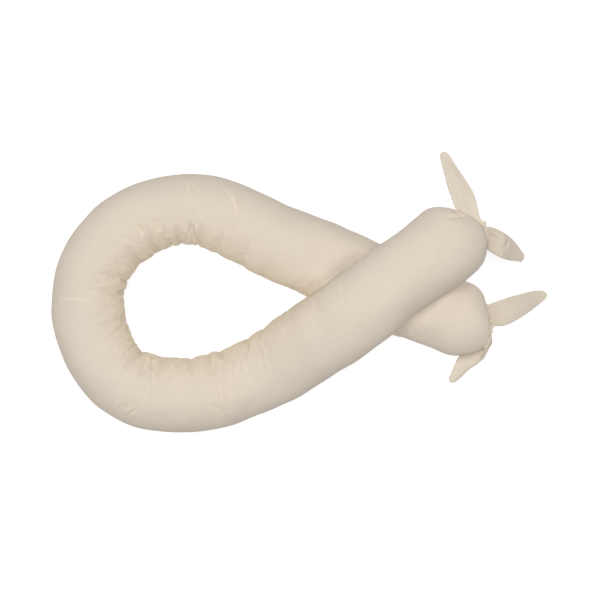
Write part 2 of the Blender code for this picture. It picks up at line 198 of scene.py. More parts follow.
def dome_rings(rim, outward, seam, angle):
    """The domed end from beyond its rim to the foot of the seam's lip."""
    share = (1 - np.cos(angle)) / 2
    side = np.sin(angle)[:, None] * np.array([0, 0, 1.0])
    foot = seam_point(seam, share) - seam_outward(seam, share, outward) * SEAM_LIP
    root = foot + side * SEAM_HALF_THICKNESS
    reach = ((root - rim) @ outward)[:, None] * outward
    draw = root - rim - reach
    crown = np.maximum(np.sin(angle), 0) ** 2
    full_turn = np.radians(CAP_TURN + (seam.left_turn - CAP_TURN) * np.maximum(np.cos(angle), 0) ** 2
                           + (seam.crown_turn - CAP_TURN) * crown)[:, None]
    fullness = (1 + (seam.fullness - 1) * crown)[:, None]
    rings = []
    for i in range(1, CAP_RINGS + 1):
        turn = full_turn * i / CAP_RINGS
        forward = np.sin(turn) / np.sin(full_turn)
        inward = ((1 - np.cos(turn)) / (1 - np.cos(full_turn))) ** fullness
        rings.append(rim + reach * forward + draw * inward)
    return np.array(rings)


def squeeze(distance):
    """How far the tube's right side is pushed in at each distance."""
    return SQUEEZE * np.cos(math.pi / 2 * np.clip((distance - SQUEEZED_AT) / SQUEEZED_REACH, -1, 1)) ** 2


def ring_faces(ring_count, point_count):
    """Faces over a run of rings, closed at both ends by strips from side to side."""
    half = point_count // 2
    faces = []
    last = (ring_count - 1) * point_count
    for start in range(0, last, point_count):
        for j in range(point_count):
            k = (j + 1) % point_count
            faces.append((start + j, start + k, start + point_count + k, start + point_count + j))
    for base, turned in ((0, True), (last, False)):
        strip = [(0, 1, point_count - 1)]
        strip += [(j, j + 1, point_count - j - 1, point_count - j) for j in range(1, half - 1)]
        strip.append((half - 1, half, half + 1))
        for face in strip:
            face = face[::-1] if turned else face
            faces.append(tuple(base + k for k in face))
    return faces


def ring_normals(rings):
    """Outward directions of a run of rings."""
    round_way = np.roll(rings, -1, axis=1) - np.roll(rings, 1, axis=1)
    long_way = np.gradient(rings, axis=0)
    normal = np.cross(round_way, long_way)
    return normal / np.maximum(np.linalg.norm(normal, axis=2), 1e-9)[..., None]


def soft_bump(off, width):
    """1 at no distance off, fading smoothly to nothing over about twice the width."""
    return np.exp(-(off / width) ** 2)


# Angles run from the loop's inner side, which is on the left, over the top.
angle = np.linspace(0, 2 * math.pi, POINTS_ROUND, endpoint=False)
angle_from_left = (angle + math.pi) % (2 * math.pi) - math.pi
right_side = np.maximum(-np.cos(angle), 0)[None, :]
distance = ring_distances()
at = line.read(distance)
across = at["half_width"][:, None] * np.cos(angle)[None, :]
across += squeeze(distance)[:, None] * right_side ** 1.5
height = at["half_height"][:, None] * np.sin(angle)[None, :]
height -= SAG / SQUEEZE * squeeze(distance)[:, None] * right_side ** 2
tube = at["place"][:, None] + across[..., None] * at["left"][:, None] + height[..., None] * at["up"][:, None]
lower_dome = dome_rings(tube[0], -at["along"][0], LOWER_SEAM, angle)[::-1]
upper_dome = dome_rings(tube[-1], at["along"][-1], UPPER_SEAM, angle)
rings = np.concatenate([lower_dome, tube, upper_dome]) - MIDDLE
normals = ring_normals(rings)
tube_rows = slice(CAP_RINGS, CAP_RINGS + len(distance))
raised = np.zeros(rings.shape[:2])      # how far each point stands off the plain form
painted_bounce_tint = np.zeros(rings.shape[:2])    # painted bounce light: 0 on plain cloth to 1 where it has the creases' warm tint in full
painted_light = np.zeros(rings.shape[:2])   # painted light on the cloth: over 0 paler, under 0 painted shade

# The creases on the inside of the loop.
# The bend crumples the cloth of the inner side into round bulges with drawn-in creases between them, which
# fan out and fade over the top. Small wrinkles lie on the bulges, and the stuffing is a little uneven.
Crease = namedtuple("Crease", "at depth lean")   # distance along the tube, depth, slant in metres a radian
CREASES = [
    Crease(0.397, 0.0020, 0.000),
    Crease(0.442, 0.0024, 0.004),
    Crease(0.503, 0.0024, 0.002),
    Crease(0.556, 0.0032, -0.003),
    Crease(0.614, 0.0036, 0.003),
    Crease(0.642, 0.0032, 0.000),
    Crease(0.689, 0.0040, -0.004),
    Crease(0.753, 0.0048, -0.006),
    Crease(0.830, 0.0048, 0.002),
    Crease(0.867, 0.0032, 0.005),
    Crease(0.949, 0.0036, 0.004),
    Crease(1.083, 0.0080, -0.005),
    Crease(1.160, 0.0024, 0.003),
    Crease(1.239, 0.0032, 0.000),
    Crease(1.284, 0.0048, 0.004),
    Crease(1.313, 0.0036, 0.006),
    Crease(1.391, 0.0056, 0.003),
    Crease(1.434, 0.0048, 0.000),
]
CREASE_FULLNESS = 0.6     # under 1 makes narrow creases between round bulges
CREASE_ROUNDING = 0.14    # share of the bulge over which a crease's bottom is rounded
CREASE_MIDDLE = math.radians(5)   # the creases are deepest here on the tube's inner side
CREASE_REACH = math.radians(80)   # and fade out this far round from there
SHORT_REACH = math.radians(46)    # but the last ones stay near the rim
LAST_LONG_CREASE = 1.32
FIRST_SHORT_CREASE = 1.38
CREASE_FADE = 0.03        # the first and the last crease fade out along the tube over this length
WRINKLES = 80
WRINKLE_SEED = 11
WRINKLES_FROM = 0.39      # they lie on this stretch of the tube
WRINKLES_TO = 1.44
WRINKLE_TURN = math.radians(12)   # and round it about here, with this spread
WRINKLE_SPREAD = math.radians(32)
WRINKLE_FADE = math.radians(62)   # shallower away from the inner side
WRINKLE_SLANT = 0.007     # spread of their slants, in metres a radian
WRINKLE_WIDTHS = (0.0022, 0.0050)
WRINKLE_DEPTHS = (0.0003, 0.0009)
WRINKLE_HALF_TURNS = (9, 26)      # degrees that half a wrinkle runs round the tube
WRINKLE_ROWS = 0.035      # no wrinkle reaches further than this along the tube
WRINKLE_LIP = 0.6         # height of a wrinkle's lips as a share of its depth
LUMP_SEED = 5
LUMPS = ((0.16, 0.0011, 14), (0.07, 0.0005, 18))   # size, height and number of the stuffing's swells
LUMP_SIZES = (0.7, 1.4)   # the least and the largest, as shares of that size
SHOULDER = 0.0042         # the climbing limb is fuller along its outer shoulder, which makes its top flatter
SHOULDER_AT = 1.50
SHOULDER_REACH = 0.10
SHOULDER_TURN = math.radians(138)
SHOULDER_WIDTH = math.radians(26)
INNER_WARMTH = 0.7        # painted bounce light: the inner side faces the cloth across the loop and takes this much of its warm tint
INNER_PAINTED_LIGHT = 1.75      # and painted light makes its bulges this much paler
WARM_FROM = 0.16          # both on this stretch of the tube
WARM_TO = 1.66
WARM_FADE = 0.12


def bulges(distance, angle):
    """Draw-in between the bulges, in metres, and how deep in a crease each point lies, 0 to 1."""
    at = np.array([c.at for c in CREASES])
    depth = np.array([c.depth for c in CREASES])
    lean = np.interp(distance, at, [c.lean for c in CREASES])[:, None] * (angle - CREASE_MIDDLE)[None, :]
    slanted = distance[:, None] - lean
    i = np.clip(np.searchsorted(at, slanted, side="right") - 1, 0, len(at) - 2)
    share = np.clip((slanted - at[i]) / (at[i + 1] - at[i]), 0, 1)
    open_share = np.sqrt(np.sin(math.pi * share) ** 2 + CREASE_ROUNDING ** 2)
    valley = np.clip(1 - open_share ** CREASE_FULLNESS, 0, 1)
    reach = np.interp(distance, (LAST_LONG_CREASE, FIRST_SHORT_CREASE), (CREASE_REACH, SHORT_REACH))[:, None]
    fade = np.clip(np.abs(angle - CREASE_MIDDLE)[None, :] / reach, 0, 1)
    past_first = np.clip((slanted - at[0]) / CREASE_FADE + 1, 0, 1)
    before_last = np.clip((at[-1] - slanted) / CREASE_FADE + 1, 0, 1)
    valley = valley * (0.5 + 0.5 * np.cos(math.pi * fade)) * past_first * before_last
    return (depth[i] * (1 - share) + depth[i + 1] * share) * valley, valley


def add_wrinkles(raised, distance, angle):
    """Short soft wrinkles at random over the crumpled inner side, each a trough with a raised lip."""
    random = np.random.default_rng(WRINKLE_SEED)
    for _ in range(WRINKLES):
        centre = random.uniform(WRINKLES_FROM, WRINKLES_TO)
        turn = random.normal(WRINKLE_TURN, WRINKLE_SPREAD)
        half_turn = math.radians(random.uniform(*WRINKLE_HALF_TURNS))
        width = random.uniform(*WRINKLE_WIDTHS)
        depth = random.uniform(*WRINKLE_DEPTHS) * soft_bump(turn, WRINKLE_FADE)
        slant = random.normal(0, WRINKLE_SLANT)
        rows = np.abs(distance - centre) < WRINKLE_ROWS
        off = angle - turn
        columns = np.abs(off) < half_turn
        if not columns.any():
            continue
        beside = distance[rows][:, None] - centre - slant * off[columns][None, :]
        along = np.cos(math.pi / 2 * off[columns] / half_turn)[None, :] ** 2
        trough = soft_bump(beside, width) - WRINKLE_LIP * soft_bump(np.abs(beside) - 2 * width, width)
        raised[np.ix_(rows, columns)] -= depth * trough * along


def uneven_stuffing(points):
    """Low swells of the stuffing, as a sum of soft waves through space."""
    random = np.random.default_rng(LUMP_SEED)
    total = np.zeros(points.shape[:-1])
    for size, height, count in LUMPS:
        for _ in range(count):
            way = random.normal(size=3)
            way *= 2 * math.pi / (size * random.uniform(*LUMP_SIZES)) / np.linalg.norm(way)
            total += height * math.sqrt(2 / count) * np.sin(points @ way + random.uniform(0, 2 * math.pi))
    return total


drawn, valley = bulges(distance, angle_from_left)
along_shoulder = soft_bump(distance - SHOULDER_AT, SHOULDER_REACH)[:, None]
raised[tube_rows] += SHOULDER * along_shoulder * soft_bump(angle - SHOULDER_TURN, SHOULDER_WIDTH)[None, :]
raised[tube_rows] -= drawn
raised += uneven_stuffing(rings)
rings = rings + normals * raised[..., None]
# Painted bounce light tints the loop's inner side warm, and painted light makes its bulges paler.
shaded_side = INNER_WARMTH * np.clip(np.cos(angle_from_left - CREASE_MIDDLE), 0, 1)[None, :] ** 2
in_bend = np.clip((distance - WARM_FROM) / WARM_FADE, 0, 1) * np.clip((WARM_TO - distance) / WARM_FADE, 0, 1)
painted_bounce_tint[tube_rows] = np.maximum(shaded_side * in_bend[:, None], valley)
painted_light[tube_rows] = INNER_PAINTED_LIGHT * shaded_side * in_bend[:, None] * (1 - valley)

# The cloth settles.
# The cover is sewn as a straight tube, so on the loop's inner side it has more cloth than room. Here it is
# let loose over its stuffing: the extra cloth draws in between the bulges and buckles into small folds.
SETTLE_POINTS = 72            # points round, a divisor of the finer skin's
SETTLE_PITCH = 0.0065
SETTLE_FRAMES = 14
SETTLE_LIMIT = 0.0018         # how far the cloth may move
SETTLE_REACH = math.radians(115)   # the folds fade out this far round from the inner side
STUFFING_HOLD = 0.3           # how firmly the stuffing holds the cloth in its place
CLOTH_SETTINGS = {
    "quality": 6, "mass": 0.15, "tension_stiffness": 15, "compression_stiffness": 10, "shear_stiffness": 5,
    "bending_stiffness": 5, "use_pressure": True, "uniform_pressure_force": 4.0, "pin_stiffness": 1.5,
}
CUT_UNBENT = 0.10             # share of the bend that the cloth doesn't have as it is cut
CUT_LONGER = 0.01             # and how much longer it is cut than the stuffing
BROAD_SWELL = 0.030           # swells broader than this are taken out again, so the tube keeps its width
BROAD_WAVES = 3               # and those that go round it fewer times than this


def over_skin(rings):
    """Mean distance of each ring from the first one, measured over the skin."""
    steps = np.linalg.norm(np.diff(rings, axis=0), axis=2).mean(axis=1)
    return np.concatenate([[0], np.cumsum(steps)])


def regrid(values, from_places, to_places, points):
    """Values on one grid of rings and points round, read on another one, smoothly both ways."""
    flat = values.reshape(len(values), -1)
    along = natural_spline(from_places, flat, to_places).reshape(len(to_places), *values.shape[1:])
    waves = np.fft.rfft(along, axis=1)
    return np.fft.irfft(waves, n=points, axis=1) * points / values.shape[1]


def broad_part(values, pitch):
    """The part of the movement that changes the tube's run and width, not its folds."""
    waves = np.fft.rfft(values, axis=1)
    waves[:, BROAD_WAVES:] = 0
    smooth = np.fft.irfft(waves, n=values.shape[1], axis=1)
    reach = int(3 * BROAD_SWELL / pitch)
    weight = np.exp(-0.5 * (np.arange(-reach, reach + 1) * pitch / BROAD_SWELL) ** 2)
    padded = np.concatenate([smooth[:1].repeat(reach, axis=0), smooth, smooth[-1:].repeat(reach, axis=0)])
    return sum(w * padded[i:i + len(values)] for i, w in enumerate(weight)) / weight.sum()


def ways_along(heading, slope):
    """Directions along, to the left and up, one set a ring, for a heading and a slope."""
    level = np.cos(slope)
    along = np.stack([np.cos(heading) * level, np.sin(heading) * level, np.sin(slope)], axis=1)
    left = np.stack([-np.sin(heading), np.cos(heading), np.zeros(len(heading))], axis=1)
    return np.stack([along, left, np.cross(along, left)], axis=1)


def as_cut(rings):
    """The same rings less bent and a little further apart: the size to which the cloth is cut."""
    centres = rings.mean(axis=1)
    way = np.gradient(centres, axis=0)
    heading = np.unwrap(np.arctan2(way[:, 1], way[:, 0]))
    slope = np.arctan2(way[:, 2], np.hypot(way[:, 0], way[:, 1]))
    on_ring = np.einsum("nkc,npc->npk", ways_along(heading, slope), rings - centres[:, None])
    ways = ways_along(heading[0] + (heading - heading[0]) * (1 - CUT_UNBENT), slope)
    steps = np.linalg.norm(np.diff(centres, axis=0), axis=1)[:, None] * (1 + CUT_LONGER)
    run = np.cumsum((ways[1:, 0] + ways[:-1, 0]) / 2 * steps, axis=0)
    cut_centres = centres[0] + np.concatenate([np.zeros((1, 3)), run])
    return cut_centres[:, None] + np.einsum("nkc,npk->npc", ways, on_ring)


def mesh_object(name, points, faces, edges=()):
    """A new object in the scene with a mesh of the given points."""
    mesh = bpy.data.meshes.new(name)
    mesh.from_pydata(np.reshape(points, (-1, 3)).tolist(), list(edges), faces)
    return placed(name, mesh)


def placed(name, data):
    """A new object in the scene that shows the given data."""
    item = bpy.data.objects.new(name, data)
    bpy.context.collection.objects.link(item)
    return item


def settled(start, cut, held):
    """The cloth's points after it has come to rest over its stuffing."""
    piece = mesh_object("settling cloth", start, ring_faces(len(start), start.shape[1]))
    piece.shape_key_add(name="in the loop")
    cut_key = piece.shape_key_add(name="as cut")
    cut_key.data.foreach_set("co", cut.astype(np.float32).ravel())
    cut_key.value = 0
    group = piece.vertex_groups.new(name="held")
    for level in np.unique(held):
        group.add(np.flatnonzero(held.ravel() == level).tolist(), float(level), "REPLACE")
    # The cut shape counts only when another modifier stands before the cloth. This one changes nothing.
    unchanged = piece.modifiers.new("held unchanged", "VERTEX_WEIGHT_EDIT")
    unchanged.vertex_group = "held"
    cloth = piece.modifiers.new("cloth", "CLOTH")
    cloth.point_cache.frame_start = 1
    cloth.point_cache.frame_end = SETTLE_FRAMES
    for name, value in CLOTH_SETTINGS.items():
        setattr(cloth.settings, name, value)
    cloth.settings.effector_weights.gravity = 0
    cloth.settings.vertex_group_mass = "held"
    cloth.settings.rest_shape_key = cut_key
    cloth.collision_settings.use_collision = False
    for step in range(1, SETTLE_FRAMES + 1):
        bpy.context.scene.frame_set(step)
    result = piece.evaluated_get(bpy.context.evaluated_depsgraph_get()).data
    moved = np.empty(start.size, np.float32)
    result.vertices.foreach_get("co", moved)
    bpy.data.objects.remove(piece)
    bpy.context.scene.frame_set(1)
    return moved.reshape(start.shape).astype(float)


fine_places = over_skin(rings)
places = np.linspace(0, fine_places[-1], round(fine_places[-1] / SETTLE_PITCH) + 1)
start = natural_spline(fine_places, rings.reshape(len(rings), -1), places).reshape(len(places), -1, 3)
start = start[:, ::POINTS_ROUND // SETTLE_POINTS]
held = np.full(start.shape[:2], STUFFING_HOLD)
held[[0, 1, -2, -1]] = 1
movement = settled(start, as_cut(start), held) - start
movement -= broad_part(movement, SETTLE_PITCH)
far = np.maximum(np.linalg.norm(movement, axis=2), 1e-9)[..., None]
movement *= SETTLE_LIMIT * np.tanh(far / SETTLE_LIMIT) / far
from_end = np.minimum(places - fine_places[CAP_RINGS], fine_places[-CAP_RINGS - 1] - places)
movement *= np.clip(from_end / BROAD_SWELL, 0, 1)[:, None, None]
turn = np.abs(angle_from_left[::POINTS_ROUND // SETTLE_POINTS] - CREASE_MIDDLE)
movement *= np.cos(math.pi / 2 * np.clip(turn / SETTLE_REACH, 0, 1))[None, :, None]
rings += regrid(movement, places, fine_places, POINTS_ROUND)

normals = ring_normals(rings)
raised[:] = 0
add_wrinkles(raised[tube_rows], distance, angle_from_left)

# The folds on top of the loop.
# Faint folds from packing and from the bend cross the tube's upper side: a pair right across at the back of
# the loop, short ones at its outer edge, and bunches of fine ridges where the tube starts to climb.
FOLD_WIDTH = 0.0028       # of most folds
Fold = namedtuple("Fold", "from_x from_y to_x to_y bow height width", defaults=[FOLD_WIDTH])
FOLDS = [
    Fold(-0.494, -0.012, -0.420, -0.010, 0.001, 0.0022),
    Fold(-0.452, -0.016, -0.414, -0.014, 0.000, 0.0014),
    Fold(-0.430, 0.001, -0.390, 0.003, 0.000, 0.0020),
    Fold(-0.236, 0.229, -0.222, 0.203, 0.002, 0.0025),
    Fold(-0.229, 0.229, -0.217, 0.203, 0.002, -0.0020),
    Fold(-0.156, 0.215, -0.137, 0.178, 0.004, 0.0025, 0.0029),
    Fold(-0.147, 0.211, -0.134, 0.155, 0.004, -0.0028),
    Fold(-0.139, 0.196, -0.129, 0.150, 0.003, 0.0017, 0.0031),
    Fold(-0.318, 0.216, -0.309, 0.207, 0.000, -0.0017, 0.0029),
    Fold(-0.299, 0.150, -0.285, 0.126, 0.002, -0.0028, 0.0065),
    Fold(-0.334, 0.136, -0.316, 0.120, 0.002, -0.0028, 0.0065),
    Fold(-0.223, 0.143, -0.217, 0.108, 0.000, -0.0039, 0.0032),
    Fold(-0.212, 0.139, -0.211, 0.112, 0.000, 0.0022, 0.0032),
    Fold(-0.236, 0.140, -0.233, 0.114, 0.000, 0.0017, 0.0032),
    Fold(-0.409, -0.094, -0.372, -0.072, 0.001, 0.0020),
    Fold(-0.403, -0.086, -0.381, -0.068, 0.000, -0.0017),
    Fold(-0.393, -0.108, -0.364, -0.092, 0.000, 0.0011),
    Fold(-0.311, -0.130, -0.325, -0.162, 0.003, -0.0036, 0.0054),
    Fold(-0.301, -0.136, -0.297, -0.152, 0.000, -0.0025, 0.0054),
    Fold(-0.302, -0.180, -0.322, -0.230, 0.002, 0.0017),
    Fold(-0.376, -0.228, -0.360, -0.216, 0.002, 0.0020),
    Fold(-0.368, -0.234, -0.349, -0.218, 0.002, -0.0014),
    Fold(-0.356, -0.240, -0.333, -0.228, 0.002, 0.0028),
    Fold(-0.345, -0.250, -0.328, -0.236, 0.002, 0.0022),
    Fold(-0.349, -0.245, -0.330, -0.231, 0.002, -0.0017),
    Fold(-0.243, -0.152, -0.250, -0.180, 0.001, 0.0014),
    Fold(-0.236, -0.136, -0.240, -0.178, 0.000, -0.0014),
    Fold(-0.249, -0.180, -0.252, -0.214, 0.000, -0.0014),
    Fold(-0.245, -0.245, -0.246, -0.268, 0.000, 0.0017, 0.0029),
    Fold(-0.236, -0.247, -0.236, -0.268, 0.000, 0.0014),
    Fold(-0.179, -0.133, -0.176, -0.160, 0.001, -0.0034, 0.0037),
    Fold(-0.156, -0.135, -0.152, -0.164, 0.001, 0.0014),
    Fold(-0.146, -0.138, -0.138, -0.176, 0.001, -0.0017),
    Fold(-0.137, -0.134, -0.131, -0.166, 0.001, 0.0017),
    Fold(-0.127, -0.132, -0.122, -0.164, 0.001, -0.0014),
    Fold(-0.174, -0.180, -0.170, -0.214, 0.001, -0.0017),
    Fold(-0.165, -0.182, -0.158, -0.216, 0.001, 0.0017),
    Fold(-0.152, -0.182, -0.143, -0.216, 0.001, -0.0025),
    Fold(-0.147, -0.182, -0.138, -0.216, 0.001, 0.0020),
    Fold(-0.108, -0.162, -0.096, -0.196, 0.001, 0.0014),
    Fold(-0.123, -0.164, -0.108, -0.202, 0.001, -0.0014),
    Fold(-0.179, -0.218, -0.158, -0.246, 0.002, -0.0028, 0.0054),
    Fold(-0.151, -0.232, -0.140, -0.244, 0.000, 0.0020, 0.0032),
    Fold(-0.107, -0.216, -0.103, -0.232, 0.000, -0.0020, 0.0037),
    Fold(0.278, 0.153, 0.306, 0.157, 0.001, 0.0012, 0.0024),
    Fold(0.276, 0.145, 0.320, 0.150, 0.002, -0.0034, 0.0026),
    Fold(0.296, 0.163, 0.322, 0.149, 0.000, -0.0046, 0.0030),
    Fold(0.330, 0.136, 0.352, 0.138, 0.000, -0.0022, 0.0030),
    Fold(0.326, 0.128, 0.350, 0.130, 0.000, 0.0012, 0.0034),
]
FULL_FOLD = 0.0025        # a fold this high or deep has its full painted highlight or painted tint
TROUGH_TONE = 0.7         # which in a trough is this much of a crease's painted bounce tint
FOLD_ENDS = 0.7           # under 1 makes a fold's ends blunter
SEEN_FROM_ABOVE = 0.15    # the folds fade out where the cloth turns down past this upward slope


def top_folds(points, normals):
    """Height of the folds at each point, and their troughs and ridges as shares of a full one."""
    total = np.zeros(points.shape[:-1])
    trough = np.zeros(points.shape[:-1])
    ridge = np.zeros(points.shape[:-1])
    facing = np.clip((normals[..., 2] - SEEN_FROM_ABOVE) / SEEN_FROM_ABOVE, 0, 1)
    for fold in FOLDS:
        start = np.array([fold.from_x, fold.from_y])
        run = np.array([fold.to_x, fold.to_y]) - start
        length = np.linalg.norm(run)
        way = run / length
        off = points[..., :2] - start
        along = (off @ way) / length
        inside = np.clip(along, 0, 1)
        beside = off @ np.array([-way[1], way[0]]) - 4 * fold.bow * inside * (1 - inside)
        ends = np.sin(math.pi * inside) ** FOLD_ENDS
        shape = soft_bump(beside, fold.width) * ends * facing
        total += fold.height * shape
        trough = np.maximum(trough, shape * np.clip(-fold.height / FULL_FOLD, 0, 1))
        ridge = np.maximum(ridge, shape * np.clip(fold.height / FULL_FOLD, 0, 1))
    return total, trough, ridge


fold_height, fold_trough, fold_ridge = top_folds(rings, normals)
raised += fold_height
# Painted bounce tint in the folds' troughs, and painted highlight on their ridges.
painted_bounce_tint = np.maximum(painted_bounce_tint, TROUGH_TONE * fold_trough)
painted_light = np.maximum(painted_light, fold_ridge)

# The gathered ends.
# Each end is closed by a short seam across the tube, half as long as the cloth that is gathered into it, so
# fine pleats run back from the seam over the dome. The seam's own edge stands up as a puckered lip.
GATHERS = 24              # pleats round each seam
GATHER_SEED = 3
GATHER_DEPTH = 0.0024
GATHER_DEPTHS = (0.5, 1.25)       # shares of that depth
GATHER_OFF = 0.35                 # how far a pleat stands out of its place, and how wide it is,
GATHER_WIDTHS = (0.16, 0.30)      # as shares of the pleats' spacing
GATHER_LENGTHS = (0.012, 0.042)
GATHER_SLANT = 2.0                # spread of their slants, in radians a metre
GATHER_FULLNESS = 1.4             # over 1 keeps a pleat deep for longer before it fades
GATHERED_RINGS = CAP_RINGS + 12   # the rings that they run over
DOME_LIGHT_REACH = 0.05   # painted light: the domes are painted paler this far back from the seams
DOME_LIGHT_UPPER = 1.5
DOME_LIGHT_LOWER = 2.3
NOISE_WAVES = 9           # waves in a run of soft noise
NOISE_RATES = (0.6, 1.5)  # the slowest and the fastest of them, where 1 is one wave a step
LIP_PROFILE = ((0.30, 0.96), (0.62, 0.92), (0.86, 0.72), (1.0, 0.36))   # shares of its width and thickness
LIP_WAVE = 0.0012         # height of the lip's puckers
LIP_RAGGED = 0.0010       # how unevenly far it stands out
LIP_PLACES = 120          # places along the lip, and how many of them a pucker and an uneven stretch take up
LIP_WAVE_PLACES = 15
LIP_RAGGED_PLACES = 13
Pucker = namedtuple("Pucker", "share width out rise")   # a bump or a dip of the lip between the two ties
UPPER_PUCKERS = (
    Pucker(0.475, 0.055, 0.0040, 0.0030),
    Pucker(0.545, 0.030, -0.0015, -0.0010),
)
LOWER_PUCKERS = (
    Pucker(0.430, 0.030, -0.0024, 0.0000),
    Pucker(0.485, 0.030, 0.0020, 0.0012),
    Pucker(0.540, 0.028, -0.0020, -0.0008),
    Pucker(0.590, 0.030, 0.0018, 0.0010),
)


def pleats(angle, reach, seed):
    """Pleats that run back from a seam: narrow troughs at uneven places, each with its own length."""
    random = np.random.default_rng(seed)
    total = np.zeros((len(reach), len(angle)))
    for i in range(GATHERS):
        centre = 2 * math.pi * (i + random.uniform(-GATHER_OFF, GATHER_OFF)) / GATHERS
        width = 2 * math.pi / GATHERS * random.uniform(*GATHER_WIDTHS)
        length = random.uniform(*GATHER_LENGTHS)
        depth = GATHER_DEPTH * random.uniform(*GATHER_DEPTHS)
        slant = random.normal(0, GATHER_SLANT)
        off = (angle[None, :] - centre - slant * reach[:, None] + math.pi) % (2 * math.pi) - math.pi
        total += depth * soft_bump(off, width) * np.exp(-(reach[:, None] / length) ** GATHER_FULLNESS)
    return total


def soft_noise(count, step, seed):
    """A closed run of count smooth random values between about -1 and 1, changing over step of them."""
    random = np.random.default_rng(seed)
    place = np.arange(count) * 2 * math.pi / count
    total = np.zeros(count)
    for _ in range(NOISE_WAVES):
        waves = round(count / step * random.uniform(*NOISE_RATES))
        total += np.sin(place * waves + random.uniform(0, 2 * math.pi))
    return total / math.sqrt(NOISE_WAVES)


reach_up = over_skin(rings)
# The pleats' troughs take the creases' painted bounce tint, and painted light makes the domes paler near the
# seams.
for rows, reach, seed, dome_light in (
    (slice(-GATHERED_RINGS, None), reach_up[-1] - reach_up[-GATHERED_RINGS:], GATHER_SEED, DOME_LIGHT_UPPER),
    (slice(GATHERED_RINGS), reach_up[:GATHERED_RINGS], GATHER_SEED + 1, DOME_LIGHT_LOWER),
):
    drawn = pleats(angle, reach, seed)
    raised[rows] -= drawn
    painted_bounce_tint[rows] = np.maximum(painted_bounce_tint[rows], np.clip(drawn / GATHER_DEPTH, 0, 1))
    painted_paler = soft_bump(reach[:, None], DOME_LIGHT_REACH) * np.sqrt(np.maximum(np.sin(angle), 0))[None, :]
    painted_light[rows] = np.maximum(painted_light[rows], painted_paler * dome_light)
rings = rings + normals * raised[..., None]


def lip_rings(last_ring, seam, outward, puckers, seed):
    """The seam's lip: rings from the dome's last ring out to a soft, puckered, slightly ragged edge."""
    share = (1 - np.cos(angle)) / 2
    out = seam_outward(seam, share, outward)
    side = np.sin(angle)[:, None] * np.array([0, 0, 1.0])
    foot = seam_point(seam, share) - out * SEAM_LIP - MIDDLE
    places = np.linspace(0, 1, LIP_PLACES)
    noise = np.interp(share, places, soft_noise(LIP_PLACES, LIP_WAVE_PLACES, seed))
    ragged = np.interp(share, places, soft_noise(LIP_PLACES, LIP_RAGGED_PLACES, seed + 10))
    bumps = [soft_bump(share - pucker.share, pucker.width) for pucker in puckers]
    further = sum(pucker.out * bump for pucker, bump in zip(puckers, bumps))
    higher = sum(pucker.rise * bump for pucker, bump in zip(puckers, bumps))
    rings = []
    for out_share, thick_share in LIP_PROFILE:
        wave = (LIP_WAVE * noise + higher) * out_share
        far = out_share * (SEAM_LIP + LIP_RAGGED * ragged + further)
        ring = foot + out * far[:, None] + side * SEAM_HALF_THICKNESS * thick_share
        ring[:, 2] += wave
        rings.append(ring)
    rings = np.array(rings)
    blend = (last_ring - (foot + side * SEAM_HALF_THICKNESS))[None]
    fading = np.array([1 - out_share for out_share, _ in LIP_PROFILE])[:, None, None] ** 2
    return rings + blend * fading


lower_lip = lip_rings(rings[0], LOWER_SEAM, -at["along"][0], LOWER_PUCKERS, GATHER_SEED + 4)[::-1]
upper_lip = lip_rings(rings[-1], UPPER_SEAM, at["along"][-1], UPPER_PUCKERS, GATHER_SEED + 5)

# Where the tube rests.
# The stuffed tube is flat where it lies on the floor and where its last limb lies over its first. The cloth
# of both limbs stays just clear of each other.
FLOOR_BLEND = 0.014       # how softly the tube flattens where it meets the floor
PRESS_BLEND = 0.012       # how softly it flattens where it meets itself
CROSSING_GAP = 0.0014     # clearance between the two limbs at the crossing
LOWER_LIMB_END = 0.40     # the lower limb is the first stretch of the tube, up to here
LIMB_STEPS = 200          # places along a limb where it is read
LIMB_SHOULDER = 0.97      # share of its half width out to which its upper side carries anything
UPPER_LIMB_FROM = 1.50    # the upper limb is the last stretch, from here
VALLEY_DEPTH = 0.006      # the lower limb dips this far beside the upper one, where the weight draws it down
VALLEY_WIDTH = 0.012
CROSSING_PAINTED_LIGHT = 3.4    # painted light: its cloth is painted paler on the upper limb's other side, where that limb shades it
CROSSING_LIGHT_WIDTH = 0.008
CORNER_SHADE = 0.9        # and painted shade darkens it where the dip runs out over its side
CORNER_WIDTH = 0.020
CORNER_TURN = math.radians(140)
CORNER_SPREAD = math.radians(28)


def smooth_max(a, b, blend):
    """The larger of a and b, rounded off over the blend where they meet."""
    overlap = np.maximum(blend - np.abs(a - b), 0)
    return np.maximum(a, b) + overlap ** 2 / (4 * blend)


def smooth_min(a, b, blend):
    """The smaller of a and b, rounded off over the blend where they meet."""
    return -smooth_max(-a, -b, blend)


def lower_limb_top(places):
    """Height of the lower limb's upper side under each place, or below the floor where it isn't there."""
    at = line.read(np.linspace(0, LOWER_LIMB_END, LIMB_STEPS))
    flat = places[:, None, :2] + MIDDLE[:2] - at["place"][None, :, :2]
    away = (flat ** 2).sum(axis=2)
    nearest = np.argmin(away, axis=1)
    share = np.sqrt(away[np.arange(len(places)), nearest]) / at["half_width"][nearest]
    rise = at["half_height"][nearest] * np.sqrt(np.clip(1 - share ** 2, 0, 1))
    top = smooth_min(at["place"][nearest, 2] + rise, at["pressed_to"][nearest], PRESS_BLEND)
    return np.where(share < LIMB_SHOULDER, top, -NOT_PRESSED)


def outside_upper_limb(places):
    """How far each place lies outside the upper limb, seen from above, and whether on its left."""
    steps = np.linspace(UPPER_LIMB_FROM, line.length, LIMB_STEPS)
    at = line.read(steps)
    flat = places[:, None, :2] + MIDDLE[:2] - at["place"][None, :, :2]
    nearest = np.argmin((flat ** 2).sum(axis=2), axis=1)
    side = (flat[np.arange(len(places)), nearest] * at["left"][nearest, :2]).sum(axis=1)
    squeezed = squeeze(steps)[nearest] * (side < 0)
    return np.abs(side) - at["half_width"][nearest] + squeezed, side > 0


